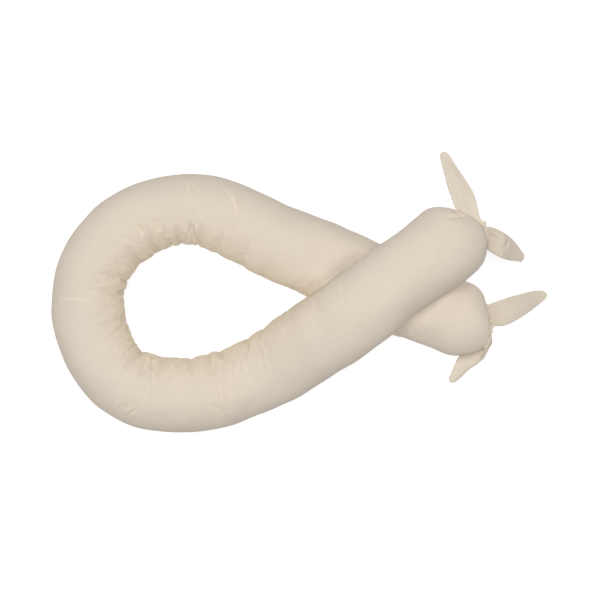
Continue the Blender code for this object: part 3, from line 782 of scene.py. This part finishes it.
tube = rings[tube_rows]
lower = distance < LOWER_LIMB_END
pressed_to = line.read(distance[lower])["pressed_to"][:, None]
tube[lower, :, 2] = smooth_min(tube[lower, :, 2], pressed_to, PRESS_BLEND)
grid = tube[lower].shape[:2]
outside, on_left = [part.reshape(grid) for part in outside_upper_limb(tube[lower].reshape(-1, 3))]
upper_side = np.clip(3 * np.sin(angle), 0, 1)[None, :]
tube[lower, :, 2] -= VALLEY_DEPTH * soft_bump(outside, VALLEY_WIDTH) * upper_side * on_left
# Painted light beside the upper limb's right side, and painted shade in the corner where the dip runs out.
painted_paler = CROSSING_PAINTED_LIGHT * soft_bump(outside, CROSSING_LIGHT_WIDTH) * upper_side * ~on_left
painted_light[tube_rows][lower] = np.maximum(painted_light[tube_rows][lower], painted_paler)
corner = soft_bump(angle - CORNER_TURN, CORNER_SPREAD)[None, :] * on_left
painted_light[tube_rows][lower] -= CORNER_SHADE * soft_bump(outside, CORNER_WIDTH) * corner
rings = np.concatenate([lower_lip, rings, upper_lip])
rings[..., 2] = smooth_max(rings[..., 2], 0.0, FLOOR_BLEND)
tube = rings[len(LIP_PROFILE):][tube_rows]
upper = distance > line.length / 2
over = tube[upper].reshape(-1, 3)
over[:, 2] = smooth_max(over[:, 2], lower_limb_top(over) + CROSSING_GAP, PRESS_BLEND)
tube[upper] = over.reshape(tube[upper].shape)

# The cover's mesh.
# The cloth's own map runs along the tube and round it in metres, with its joint under the tube, so the weave
# keeps its real size all over.
UNDER = 3 * POINTS_ROUND // 4     # the column of points along the tube's underside
LIP_CREASE = 0.3                  # the gathered lips have this much of the creases' painted bounce tint


def cloth_piece(name, points, faces, cloth_place, creased, painted_light):
    """A piece of cloth with its map in metres; two point attributes carry its painted shade tint and its
    painted light.
    """
    piece = mesh_object(name, points, faces)
    cloth_map = piece.data.uv_layers.new(name="cloth")
    cloth_map.data.foreach_set("uv", cloth_place.astype(np.float32).ravel())
    for attribute_name, values in (("creased", creased), ("painted_light", painted_light)):
        attribute = piece.data.attributes.new(attribute_name, "FLOAT", "POINT")
        attribute.data.foreach_set("value", values.astype(np.float32).ravel())
    piece.data.shade_smooth()
    return piece


def tube_cloth_map(rings, faces):
    """Cloth map of the tube: distance along it, and distance round it from its underside."""
    count = rings.shape[1]
    along = over_skin(rings)
    girth = np.linalg.norm(np.roll(rings, -1, axis=1) - rings, axis=2).sum(axis=1).max()
    places = []
    for face in faces:
        columns = [(k % count - UNDER) % count for k in face]
        wraps = max(columns) - min(columns) > count // 2
        for k, column in zip(face, columns):
            if wraps and column == 0:
                column = count
            places.append((along[k // count], column * girth / count))
    return np.array(places)


faces = ring_faces(len(rings), POINTS_ROUND)
lip = np.zeros((len(LIP_PROFILE), POINTS_ROUND))
creased = np.concatenate([lip + LIP_CREASE, painted_bounce_tint, lip + LIP_CREASE])
painted_light = np.concatenate([lip, painted_light, lip])
cover = cloth_piece("stuffed_cover", rings, faces, tube_cloth_map(rings, faces), creased, painted_light)

# The cotton.
# Undyed plain-woven cotton: even threads about a third of a millimetre apart with a few thicker ones, matt,
# with a soft bloom of short fibres. Its creases and the loop's inner side are painted warmer, as painted
# bounce light from cloth to cloth; painted light makes it paler in places and painted shade darker in one
# corner.
COVER_COLOUR = (0.640, 0.561, 0.467)
CREASE_COLOUR = (0.700, 0.598, 0.440)
THREADS_PER_METRE = 2800.0
STREAK_LONG = 14.0        # thick and thin threads: streaks for each metre along them and across them
STREAK_CROSS = 900.0
PATCHES = 9.0             # uneven patches of tone, crumples and fibres, for each metre
CRUMPLES = 55.0
FIBRES = 120.0
LINES = (75.0, 11.0, 1.0)         # fine pressed lines, for each metre along the tube and round it
LINE_HALF_WIDTH = 0.05    # as a share of the tones between two lines
LINES_IN = (0.48, 0.60)   # they show in the paler patches, from the first tone and in full from the second
CRUMPLE_BUMP = (0.5, 0.0012)      # strength of each bump, and its height in metres
LINE_BUMP = (0.5, 0.0007)
THREAD_BUMP = (0.35, 0.00012)
PLAIN_TONE = 0.91         # brightness of the cloth, and what each of these adds to it, the third as painted light
PATCH_PALER = 0.05
THREAD_PALER = 0.05
PAINTED_LIGHT_PALER = 0.11
FIBRE_PALER = 0.03
COLOUR_STRENGTH = (0.93, 1.07)    # in the darkest patches and in the palest
CREASE_STRENGTH = (0.5, 1.1)      # how far a full painted shade tint takes the creases' colour there
ROUGHNESS = (0.82, 0.94)          # between the fibres and on them


class NodeSheet:
    """A short way to add nodes and links to one node tree."""

    def __init__(self, tree):
        self.tree = tree

    def add(self, kind, inputs=(), **settings):
        """Adds a node, sets its options, and sets or links its inputs by name or number."""
        node = self.tree.nodes.new(kind)
        for name, value in settings.items():
            setattr(node, name, value)
        return self.feed(node, inputs)

    def feed(self, node, inputs):
        """Sets or links a node's inputs."""
        for key, value in dict(inputs).items():
            if isinstance(value, bpy.types.NodeSocket):
                self.tree.links.new(value, node.inputs[key])
            else:
                node.inputs[key].default_value = value
        return node

    def sum(self, operation, first, second=0.0, third=0.0):
        """One arithmetic step; gives back its result."""
        return self.add("ShaderNodeMath", {0: first, 1: second, 2: third}, operation=operation).outputs[0]

    def between(self, value, limits):
        """A value from 0 to 1 brought between two limits."""
        return self.sum("MULTIPLY_ADD", value, limits[1] - limits[0], limits[0])

    def drawn_out(self, place, scale):
        """A place scaled by its own amount each way."""
        return self.add("ShaderNodeVectorMath", {0: place, 1: scale}, operation="MULTIPLY").outputs[0]

    def eased_range(self, value, old, new):
        """A value brought from one range to another, softly at both ends."""
        return self.add("ShaderNodeMapRange", {
            "Value": value, "From Min": old[0], "From Max": old[1], "To Min": new[0], "To Max": new[1],
        }, interpolation_type="SMOOTHSTEP").outputs[0]

    def noise(self, place, scale, detail, roughness=0.5):
        """Soft random values over a place."""
        return self.add("ShaderNodeTexNoise", {"Vector": place, "Scale": scale, "Detail": detail,
                                               "Roughness": roughness}).outputs["Fac"]

    def bump(self, height, strength, distance, below=None):
        """The direction of a surface with this height on it, over the bumps below."""
        inputs = {"Height": height, "Strength": strength, "Distance": distance}
        if below is not None:
            inputs["Normal"] = below
        return self.add("ShaderNodeBump", inputs).outputs["Normal"]


def node_group(name, kind, inputs, outputs):
    """A new node group with its named inputs and outputs, as a sheet, and the values that it is given."""
    group = bpy.data.node_groups.new(name, kind)
    for in_out, sockets in (("INPUT", inputs), ("OUTPUT", outputs)):
        for socket_name, socket_kind in sockets.items():
            group.interface.new_socket(socket_name, in_out=in_out, socket_type="NodeSocket" + socket_kind)
    sheet = NodeSheet(group)
    return sheet, sheet.add("NodeGroupInput").outputs


def plain_weave_group():
    """Plain weave over the cloth map: the height of its threads, and the tone of thick and thin ones."""
    sheet, given = node_group("plain weave", "ShaderNodeTree",
                              {"Cloth place": "Vector", "Threads per metre": "Float"},
                              {"Thread height": "Float", "Thread tone": "Float"})
    apart = sheet.add("ShaderNodeSeparateXYZ", {0: given["Cloth place"]})
    warp_count = sheet.sum("MULTIPLY", apart.outputs["X"], given["Threads per metre"])
    weft_count = sheet.sum("MULTIPLY", apart.outputs["Y"], given["Threads per metre"])
    warp_turn = sheet.sum("MULTIPLY", warp_count, math.pi)
    weft_turn = sheet.sum("MULTIPLY", weft_count, math.pi)
    heights = []
    for own_turn, own_count, other_turn, direction in (
        (warp_turn, warp_count, weft_turn, 0.5),
        (weft_turn, weft_count, warp_turn, -0.5),
    ):
        ridge = sheet.sum("ABSOLUTE", sheet.sum("SINE", own_turn))
        row = sheet.sum("FLOORED_MODULO", sheet.sum("FLOOR", own_count), 2.0)
        sign = sheet.sum("MULTIPLY_ADD", row, -2.0, 1.0)
        over = sheet.sum("MULTIPLY", sheet.sum("SINE", other_turn), sign)
        heights.append(sheet.sum("MULTIPLY", ridge, sheet.sum("MULTIPLY_ADD", over, direction, 0.5)))
    height = sheet.sum("MAXIMUM", heights[0], heights[1])
    tones = []
    for scale in ((STREAK_LONG, STREAK_CROSS, 1.0), (STREAK_CROSS, STREAK_LONG, 1.0)):
        tones.append(sheet.noise(sheet.drawn_out(given["Cloth place"], scale), 1.0, 2.0))
    tone = sheet.sum("MULTIPLY", sheet.sum("ADD", tones[0], tones[1]), 0.5)
    sheet.add("NodeGroupOutput", {"Thread height": height, "Thread tone": tone})
    return sheet.tree


def washed_cloth_group():
    """Colour, with its painted shade tint and painted light, roughness, soft crumple and fine pressed lines
    of washed cloth.
    """
    sheet, given = node_group("washed cloth", "ShaderNodeTree", {
        "Place": "Vector", "Cloth place": "Vector", "Painted shade tint": "Float", "Painted light": "Float",
        "Thread tone": "Float", "Cloth colour": "Color", "Crease colour": "Color",
    }, {"Colour": "Color", "Roughness": "Float", "Crumple": "Float", "Lines": "Float"})
    patches = sheet.noise(given["Place"], PATCHES, 3.0)
    fine = sheet.noise(given["Place"], FIBRES, 4.0)
    crumple = sheet.noise(given["Place"], CRUMPLES, 3.0, 0.45)
    bands = sheet.noise(sheet.drawn_out(given["Cloth place"], LINES), 1.0, 1.0)
    from_line = sheet.sum("ABSOLUTE", sheet.sum("SUBTRACT", bands, 0.5))
    line = sheet.eased_range(from_line, (0.0, LINE_HALF_WIDTH), (1.0, 0.0))
    lines = sheet.sum("MULTIPLY", line, sheet.eased_range(patches, LINES_IN, (0.0, 1.0)))
    shade_tint_share = sheet.sum("MULTIPLY", given["Painted shade tint"], sheet.between(patches, CREASE_STRENGTH))
    shaded = sheet.add("ShaderNodeMix", {0: shade_tint_share, 6: given["Cloth colour"], 7: given["Crease colour"]},
                       data_type="RGBA")
    tone = PLAIN_TONE
    for value, paler in ((patches, PATCH_PALER), (given["Thread tone"], THREAD_PALER),
                         (given["Painted light"], PAINTED_LIGHT_PALER), (fine, FIBRE_PALER)):
        tone = sheet.sum("MULTIPLY_ADD", value, paler, tone)
    toned = sheet.add("ShaderNodeHueSaturation", {
        "Color": shaded.outputs[2], "Value": tone, "Saturation": sheet.between(patches, COLOUR_STRENGTH)})
    sheet.add("NodeGroupOutput", {
        "Colour": toned.outputs["Color"], "Roughness": sheet.between(fine, ROUGHNESS),
        "Crumple": crumple, "Lines": lines})
    return sheet.tree


plain_weave = plain_weave_group()
washed_cloth = washed_cloth_group()


def new_material(name):
    """A new material, and the sheet of its nodes."""
    material = bpy.data.materials.new(name)
    material.use_nodes = True
    return material, NodeSheet(material.node_tree)


def dress_shader(sheet, inputs):
    """Sets or links the inputs of a material's own shader."""
    sheet.feed(sheet.tree.nodes["Principled BSDF"], inputs)


def cotton_material(name, colour, crease_colour):
    """Plain-woven cotton in the given colour."""
    material, sheet = new_material(name)
    place = sheet.add("ShaderNodeTexCoord").outputs["Object"]
    cloth_place = sheet.add("ShaderNodeUVMap", uv_map="cloth").outputs["UV"]
    # The painted shade tint and the painted light, read from the mesh's points.
    creased = sheet.add("ShaderNodeAttribute", attribute_name="creased").outputs["Fac"]
    painted_light = sheet.add("ShaderNodeAttribute", attribute_name="painted_light").outputs["Fac"]
    weave = sheet.add("ShaderNodeGroup", {
        "Cloth place": cloth_place, "Threads per metre": THREADS_PER_METRE,
    }, node_tree=plain_weave).outputs
    cloth = sheet.add("ShaderNodeGroup", {
        "Place": place, "Cloth place": cloth_place, "Painted shade tint": creased, "Painted light": painted_light,
        "Thread tone": weave["Thread tone"],
        "Cloth colour": (*colour, 1), "Crease colour": (*crease_colour, 1),
    }, node_tree=washed_cloth).outputs
    crumple = sheet.bump(cloth["Crumple"], *CRUMPLE_BUMP)
    lines = sheet.bump(cloth["Lines"], *LINE_BUMP, crumple)
    threads = sheet.bump(weave["Thread height"], *THREAD_BUMP, lines)
    dress_shader(sheet, {
        "Base Color": cloth["Colour"], "Roughness": cloth["Roughness"], "Normal": threads,
        "Specular IOR Level": 0.25, "Sheen Weight": 0.04, "Sheen Roughness": 0.6,
    })
    return material


cover.data.materials.append(cotton_material("undyed cotton", COVER_COLOUR, CREASE_COLOUR))
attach(cover, "root")
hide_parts("bumper_body")

# The ties.
# Four leaf-shaped ties, each cut double from the cover's cotton, sewn round, turned and pressed, then caught
# in the end seams in pairs. Turned edges make them a little thicker and puckered near the rim.
TIE_FLAT = (0.051, 0.150)     # each tie's cut size without its seam allowance, width and length
TIE_COLOUR = (0.645, 0.566, 0.468)
# The ties' painted shade colour, for their folds' troughs and their roots.
TIE_SHADE_COLOUR = (0.515, 0.443, 0.352)
TIE_ROOT_IN = 0.0016          # the root is caught this far inside the lip
TIE_ROOT_BOW = 0.25           # share of the tie's length over which it keeps the seam's bow
TIE_POINTS_ACROSS = 26
TIE_STEPS = 84
TIE_TIP_STEPS = 16            # of those, the steps round the tip
TIE_TIP_ROUND = 0.07          # share of the tie's length taken up by its round tip
TIE_TIP_WIDTH = 0.12          # the last step's share of the width, so that the tip closes bluntly
TIE_HALF_THICKNESS = 0.0017   # double cloth, sewn and turned
TIE_EDGE_HALF_THICKNESS = 0.0006
TIE_TIP_THICKNESS = 0.45      # least share of its thickness at the tip
TIE_RIM = 0.10                # share of the width taken up by the turned edge
TIE_RIM_ROUND = 0.6           # share of the rim over which its edge is rounded
TIE_RIM_SWELL = 0.0004        # how much thicker it is, and over how many rims' width
TIE_SWELL_WIDTH = 0.7
TIE_PUCKER = 0.0005           # height of the rim's puckers, and how many rims wide they are
TIE_PUCKER_WIDTH = 1.6
TIE_PUCKER_STEPS = 6          # steps along the tie that one takes up
TIE_EDGE_CROWDING = 0.35      # over 0 sets the points closer together towards its edges
TIE_FOLD_ENDS = 0.35          # a fold's height at its ends as a share of its height in the middle
TIE_FULL_TROUGH = 0.0032      # a trough this deep would have all of the painted shade, up to a limit
TIE_TROUGH_LIMIT = 0.5
TIE_FULL_RIDGE = 0.0035       # and a ridge this high all of the painted highlight
TIE_RIDGE_LIMIT = 0.6
TIE_ROOT_SHADE_LENGTH = 0.16             # share of its length over which painted shade darkens its root
TIE_PALER_FROM = 0.3          # a tip painted paler, as painted light, starts this far along the tie
TIE_PALER_FULL = 0.8          # and has its full tone from here
TieRow = namedtuple("TieRow", "left right lift")   # two points on the edges, and the lift of the middle
TieFold = namedtuple("TieFold", "from_along from_across to_along to_across width height")
# A tie's last three fields are painted shade at its root, and painted light towards its tip and on one side.
Tie = namedtuple("Tie", "node seam seam_from seam_to held rests_on rows folds gathered paler_tip paler_side",
                 defaults=[1.0, 0.0, 0.0])
TIES = [
    Tie("tie_upper_left", UPPER_SEAM, 0.01, 0.40, "draped", ["stuffed_cover"], [
        TieRow((0.304, 0.170, 0.183), (0.351, 0.166, 0.166), 0.001),
        TieRow((0.298, 0.186, 0.183), (0.347, 0.185, 0.164), 0.003),
        TieRow((0.291, 0.208, 0.178), (0.336, 0.210, 0.160), 0.004),
        TieRow((0.286, 0.231, 0.170), (0.322, 0.232, 0.156), 0.004),
        TieRow((0.281, 0.254, 0.160), (0.307, 0.256, 0.150), 0.002),
        TieRow((0.276, 0.278, 0.150), (0.294, 0.280, 0.146), 0.001),
    ], [
        TieFold(0.02, 0.30, 0.40, 0.42, 0.06, 0.0006),
        TieFold(0.02, 0.62, 0.25, 0.55, 0.06, -0.0006),
        TieFold(0.30, 0.60, 0.80, 0.50, 0.09, 0.0005),
    ], gathered=0.2, paler_side=1.3),
    Tie("tie_upper_right", UPPER_SEAM, 0.56, 0.99, "hung", ["stuffed_cover"], [
        TieRow((0.387, 0.127, 0.156), (0.384, 0.078, 0.141), 0.001),
        TieRow((0.405, 0.119, 0.147), (0.400, 0.070, 0.133), 0.004),
        TieRow((0.421, 0.110, 0.128), (0.415, 0.066, 0.117), 0.004),
        TieRow((0.439, 0.096, 0.097), (0.433, 0.064, 0.091), 0.003),
        TieRow((0.455, 0.082, 0.062), (0.448, 0.064, 0.058), 0.002),
        TieRow((0.462, 0.076, 0.044), (0.455, 0.062, 0.042), 0.001),
    ], [
        TieFold(0.03, 0.34, 0.22, 0.40, 0.06, -0.0022),
        TieFold(0.02, 0.20, 0.25, 0.28, 0.07, 0.0014),
        TieFold(0.34, 0.10, 0.28, 0.62, 0.035, -0.0016),
        TieFold(0.39, 0.10, 0.33, 0.60, 0.035, 0.0012),
    ], paler_tip=2.2),
    Tie("tie_lower_right", LOWER_SEAM, 0.99, 0.62, "draped", ["floor"], [
        TieRow((0.408, -0.016, 0.070), (0.418, -0.067, 0.062), 0.001),
        TieRow((0.433, -0.008, 0.057), (0.448, -0.054, 0.051), 0.003),
        TieRow((0.462, -0.001, 0.036), (0.477, -0.037, 0.032), 0.003),
        TieRow((0.489, 0.004, 0.014), (0.499, -0.022, 0.012), 0.002),
        TieRow((0.511, 0.004, 0.0015), (0.517, -0.009, 0.0015), 0.000),
    ], [
        TieFold(0.02, 0.45, 0.25, 0.50, 0.06, -0.0008),
        TieFold(0.10, 0.70, 0.60, 0.60, 0.07, 0.0007),
    ], gathered=0.9, paler_tip=0.5),
    Tie("tie_lower_left", LOWER_SEAM, 0.01, 0.40, "folded", ["floor"], [
        TieRow((0.378, -0.131, 0.045), (0.3935, -0.101, 0.048), 0.000),
        TieRow((0.375, -0.139, 0.033), (0.3875, -0.108, 0.032), 0.001),
        TieRow((0.366, -0.149, 0.019), (0.368, -0.110, 0.014), 0.004),
        TieRow((0.352, -0.160, 0.009), (0.339, -0.122, 0.005), 0.007),
        TieRow((0.338, -0.174, 0.004), (0.320, -0.155, 0.0025), 0.006),
        TieRow((0.320, -0.190, 0.0015), (0.307, -0.184, 0.0015), 0.002),
    ], [
        TieFold(0.35, 0.25, 0.75, 0.45, 0.06, -0.0008),
        TieFold(0.05, 0.55, 0.40, 0.60, 0.06, 0.0009),
    ]),
]


def tie_steps():
    """Places along a tie as shares of its length, closer together round its tip."""
    straight = np.linspace(0, 1 - TIE_TIP_ROUND, TIE_STEPS - TIE_TIP_STEPS, endpoint=False)
    turn = np.linspace(0, math.pi / 2, TIE_TIP_STEPS)
    return np.concatenate([straight, 1 - TIE_TIP_ROUND + TIE_TIP_ROUND * np.sin(turn)])


def tie_edges(tie):
    """The tie's left edge, right edge and lift, from inside the seam's lip to the tip."""
    shares = np.array([tie.seam_from, tie.seam_to])
    root = seam_point(tie.seam, shares) - seam_outward(tie.seam, shares, ENDS_POINT) * TIE_ROOT_IN
    left = np.array([root[0]] + [row.left for row in tie.rows])
    right = np.array([root[1]] + [row.right for row in tie.rows])
    lift = np.array([[0.0]] + [[row.lift] for row in tie.rows])
    middle = (left + right) / 2
    knots = run_length(middle)
    at = tie_steps() * knots[-1]
    return [natural_spline(knots, values, at) for values in (left, right, lift)]


def tie_relief(tie, along, across):
    """The folds of the tie and the puckers along its turned edges, as height off its face."""
    total = np.zeros((len(along), len(across)))
    for fold in tie.folds:
        run = np.array([fold.to_along - fold.from_along, fold.to_across - fold.from_across])
        length = np.linalg.norm(run)
        way = run / length
        off_along = along[:, None] - fold.from_along
        off_across = across[None, :] - fold.from_across
        share = (off_along * way[0] + off_across * way[1]) / length
        inside = np.clip(share, 0, 1)
        shape = TIE_FOLD_ENDS + (1 - TIE_FOLD_ENDS) * np.sin(math.pi * inside)
        beside = off_along * way[1] - off_across * way[0]
        past = (share - inside) * length
        total += fold.height * soft_bump(beside, fold.width) * soft_bump(past, fold.width) * shape
    seed = sum(ord(letter) for letter in "leaf_" + tie.node)
    from_edge = np.minimum(across, 1 - across)
    for edge, side in enumerate((across < 0.5, across >= 0.5)):
        pucker = soft_noise(len(along), TIE_PUCKER_STEPS, seed + edge)
        near_edge = soft_bump(from_edge, TIE_PUCKER_WIDTH * TIE_RIM) * side
        total += TIE_PUCKER * pucker[:, None] * near_edge[None, :]
    return total


def make_tie(tie):
    """The tie as a closed leaf: its upper cloth and its under cloth, joined round a soft rim."""
    left, right, lift = tie_edges(tie)
    turn = np.linspace(0, math.pi, TIE_POINTS_ACROSS + 1)
    evenly = np.linspace(0, 1, TIE_POINTS_ACROSS + 1)
    across = (1 - np.cos(turn)) / 2 * TIE_EDGE_CROWDING + evenly * (1 - TIE_EDGE_CROWDING)
    along = tie_steps()
    past = np.clip((along - 1 + TIE_TIP_ROUND) / TIE_TIP_ROUND, 0, 1)
    width = np.maximum(np.sqrt(1 - past ** 2), TIE_TIP_WIDTH)
    middle = (left + right) / 2
    forward = np.gradient(middle, axis=0)
    half = (right - left) / 2 * width[:, None]
    from_middle = 2 * across - 1
    sheet = middle[:, None] + half[:, None] * from_middle[None, :, None]
    root_share = tie.seam_from + (tie.seam_to - tie.seam_from) * across
    root = seam_point(tie.seam, root_share) - seam_outward(tie.seam, root_share, ENDS_POINT) * TIE_ROOT_IN
    sheet += (root - sheet[0]) * np.clip(1 - along / TIE_ROOT_BOW, 0, 1)[:, None, None] ** 2
    up = np.cross(right - left, forward)
    up /= np.linalg.norm(up, axis=1)[:, None]
    sheet += up[:, None] * (lift * (1 - from_middle ** 2))[..., None]
    relief = tie_relief(tie, along, across) * (width[:, None] ** 2)
    sheet += up[:, None] * relief[..., None]
    from_edge = np.minimum(across, 1 - across)
    off_edge = np.clip(from_edge / (TIE_RIM_ROUND * TIE_RIM), 0, 1)
    rounded = np.sqrt(np.clip(1 - (1 - off_edge) ** 2, 0, 1))
    swell = TIE_RIM_SWELL * soft_bump(from_edge - TIE_RIM, TIE_SWELL_WIDTH * TIE_RIM)
    thickness = TIE_EDGE_HALF_THICKNESS + (TIE_HALF_THICKNESS - TIE_EDGE_HALF_THICKNESS) * rounded + swell
    at_tip = np.maximum(width, TIE_TIP_THICKNESS)[:, None] * np.ones(len(across))
    offset = up[:, None] * (thickness[None, :] * at_tip)[..., None]
    rings = np.concatenate([sheet - offset, (sheet + offset)[:, ::-1]], axis=1)
    rings[..., 2] = np.maximum(rings[..., 2], 0)
    count = rings.shape[1]
    faces = []
    last = (TIE_STEPS - 1) * count
    for start in range(0, last, count):
        for j in range(count):
            k = (j + 1) % count
            faces.append((start + j, start + count + j, start + count + k, start + k))
    for j in range(TIE_POINTS_ACROSS):
        k = count - 1 - j
        faces.append((j, j + 1, k - 1, k))
        faces.append((last + k, last + k - 1, last + j + 1, last + j))
    column_across = np.concatenate([across, across[::-1]])
    corners = np.array(faces).ravel()
    places = np.stack([along[corners // count], column_across[corners % count]], axis=1) * TIE_FLAT[::-1]
    both_faces = np.concatenate([relief, relief[:, ::-1]], axis=1)
    # Painted shade in the folds' troughs and at the root; painted light on the ridges, towards the tip and
    # on one side.
    creased = np.clip(-both_faces / TIE_FULL_TROUGH, 0, TIE_TROUGH_LIMIT)
    creased = np.maximum(creased, tie.gathered * soft_bump(along, TIE_ROOT_SHADE_LENGTH)[:, None])
    painted_light = np.clip(both_faces / TIE_FULL_RIDGE, 0, TIE_RIDGE_LIMIT)
    near_tip = np.clip((along - TIE_PALER_FROM) / (TIE_PALER_FULL - TIE_PALER_FROM), 0, 1)
    painted_light = np.maximum(painted_light, tie.paler_tip * near_tip[:, None])
    painted_light = np.maximum(painted_light, tie.paler_side * column_across[None, :] ** 2)
    return cloth_piece("leaf_" + tie.node, rings - MIDDLE, faces, places, creased, painted_light)


tie_cotton = cotton_material("tie cotton", TIE_COLOUR, TIE_SHADE_COLOUR)
for tie in TIES:
    leaf = make_tie(tie)
    leaf.data.materials.append(tie_cotton)
    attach(leaf, "root")
    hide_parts(tie.node)

# The end seams' stitches.
# Each gathered end is closed by one row of machine stitches in thread of the cloth's colour, seen on both
# faces of the lip.
STITCH_PITCH = 0.0030
STITCH_LENGTH = 0.0024
THREAD_THICKNESS = 0.00045
THREAD_SUNK = 0.25            # how far its middle lies off the lip, as a share of its thickness
STITCH_ROW_OUT = 0.45         # the row's place on the lip, as a share of its width
STITCH_FREE_POINTS = 3        # the row ends this many of the lip's points from its corners
THREAD_COLOUR = (0.66, 0.57, 0.46)
THREAD_FIBRES = 2600.0        # for each metre
THREAD_TONES = (0.85, 1.15)   # between the darkest fibres and the palest
FIBRE_BUMP = (0.4, 0.0001)


def thread_material():
    """Matt sewing thread with its fibres."""
    material, sheet = new_material("sewing thread")
    fibres = sheet.noise(sheet.add("ShaderNodeTexCoord").outputs["Object"], THREAD_FIBRES, 2.0)
    colour = sheet.add("ShaderNodeHueSaturation", {
        "Color": (*THREAD_COLOUR, 1), "Value": sheet.between(fibres, THREAD_TONES)})
    dress_shader(sheet, {"Base Color": colour.outputs["Color"], "Roughness": 0.6,
                         "Normal": sheet.bump(fibres, *FIBRE_BUMP)})
    return material


def stitch_row_tree():
    """Stitches set one after another along a line of points."""
    sheet, given = node_group("stitch row", "GeometryNodeTree", {
        "Line": "Geometry", "Stitch pitch": "Float", "Stitch length": "Float", "Thread thickness": "Float",
        "Thread": "Material",
    }, {"Stitches": "Geometry"})
    curve = sheet.add("GeometryNodeMeshToCurve", {0: given["Line"]})
    spaced = sheet.add("GeometryNodeResampleCurve", {
        "Curve": curve.outputs[0], "Length": given["Stitch pitch"],
    }, mode="LENGTH")
    bead = sheet.add("GeometryNodeMeshUVSphere", {"Segments": 8, "Rings": 6, "Radius": 0.5})
    tangent = sheet.add("GeometryNodeInputTangent")
    turned = sheet.add("FunctionNodeAlignRotationToVector", {"Vector": tangent.outputs[0]}, axis="X")
    size = sheet.add("ShaderNodeCombineXYZ", {
        "X": given["Stitch length"], "Y": given["Thread thickness"], "Z": given["Thread thickness"]})
    placed_beads = sheet.add("GeometryNodeInstanceOnPoints", {
        "Points": spaced.outputs[0], "Instance": bead.outputs[0],
        "Rotation": turned.outputs[0], "Scale": size.outputs[0]})
    real = sheet.add("GeometryNodeRealizeInstances", {0: placed_beads.outputs[0]})
    smooth = sheet.add("GeometryNodeSetShadeSmooth", {0: real.outputs[0]})
    finished = sheet.add("GeometryNodeSetMaterial", {0: smooth.outputs[0], "Material": given["Thread"]})
    sheet.add("NodeGroupOutput", {0: finished.outputs[0]})
    return sheet.tree


def stitch_lines():
    """Two lines of points on each lip, one on its upper face and one on its under face."""
    points = []
    edges = []
    half = POINTS_ROUND // 2
    share = (STITCH_ROW_OUT - LIP_PROFILE[0][0]) / (LIP_PROFILE[1][0] - LIP_PROFILE[0][0])
    for inner, outer in ((lower_lip[-1], lower_lip[-2]), (upper_lip[0], upper_lip[1])):
        row = inner * (1 - share) + outer * share
        for corner, side in ((0, 1), (half, -1)):
            start = len(points)
            columns = range(corner + STITCH_FREE_POINTS, corner + half + 1 - STITCH_FREE_POINTS)
            points += [row[j] + np.array([0, 0, side * THREAD_THICKNESS * THREAD_SUNK]) for j in columns]
            edges += [(i, i + 1) for i in range(start, len(points) - 1)]
    return points, edges


line_points, line_edges = stitch_lines()
stitch_guide = mesh_object("stitch_guide", line_points, [], line_edges)
stitch_tree = stitch_row_tree()
stitching = stitch_guide.modifiers.new("stitch row", "NODES")
stitching.node_group = stitch_tree
stitch_settings = {"Stitch pitch": STITCH_PITCH, "Stitch length": STITCH_LENGTH,
                   "Thread thickness": THREAD_THICKNESS, "Thread": thread_material()}
for item in stitch_tree.interface.items_tree:
    if item.name in stitch_settings:
        stitching[item.identifier] = stitch_settings[item.name]
evaluated = stitch_guide.evaluated_get(bpy.context.evaluated_depsgraph_get())
stitch_mesh = bpy.data.meshes.new_from_object(evaluated)
bpy.data.objects.remove(stitch_guide)
stitches = placed("end_seam_stitches", stitch_mesh)
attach(stitches, "root")

# The studio.
# A plain near-white floor under one large soft light from the upper left and an even pale surround. The
# camera looks straight down, as in the photograph.
CAMERA_PLACE = (-0.0035, -0.0123, 3.2)
LENS = 92.06
SENSOR = 36
FLOOR_SIZE = 40.0
FLOOR_COLOUR = (0.26, 0.26, 0.26)
FLOOR_GLOW = 0.81
KEY_PLACE = (-0.40, 0.48, 6.6)
KEY_SIZE = 2.6
KEY_POWER = 407.0
SURROUND_ABOVE = 0.29
SURROUND_AT_HORIZON = 0.10
SURROUND_FULL_FROM = 0.7      # sine of the height over the horizon from which it is at its full strength

camera_data = bpy.data.cameras.new("camera")
camera_data.sensor_width = SENSOR
camera_data.lens = LENS
camera = placed("camera", camera_data)
camera.location = CAMERA_PLACE
bpy.context.scene.camera = camera

reach = FLOOR_SIZE / 2
floor_corners = [(-reach, -reach, 0), (reach, -reach, 0), (reach, reach, 0), (-reach, reach, 0)]
floor = mesh_object("floor", floor_corners, [(0, 1, 2, 3)])
floor_paint, floor_sheet = new_material("pale floor")
dress_shader(floor_sheet, {
    "Base Color": (*FLOOR_COLOUR, 1), "Roughness": 0.95, "Specular IOR Level": 0.0,
    "Emission Color": (1, 1, 1, 1), "Emission Strength": FLOOR_GLOW,
})
floor.data.materials.append(floor_paint)

key_data = bpy.data.lights.new("soft key", "AREA")
key_data.shape = "DISK"
key_data.size = KEY_SIZE
key_data.energy = KEY_POWER
key = placed("soft key", key_data)
key.location = KEY_PLACE
toward = -np.array(KEY_PLACE)
lean = math.acos(-toward[2] / np.linalg.norm(toward))
key.rotation_euler = (lean, 0, math.atan2(toward[1], toward[0]) - math.pi / 2)
key.visible_camera = False

world = bpy.data.worlds.new("pale surround")
world.use_nodes = True
sky = NodeSheet(world.node_tree)
way_parts = sky.add("ShaderNodeSeparateXYZ", {"Vector": sky.add("ShaderNodeTexCoord").outputs["Generated"]})
rise = sky.add("ShaderNodeMapRange", {
    "Value": way_parts.outputs["Z"], "From Max": SURROUND_FULL_FROM, "To Min": SURROUND_AT_HORIZON,
    "To Max": SURROUND_ABOVE})
sky.feed(world.node_tree.nodes["Background"], {"Color": (1, 1, 1, 1), "Strength": rise.outputs["Result"]})
bpy.context.scene.world = world
bpy.context.scene.view_settings.view_transform = "Standard"
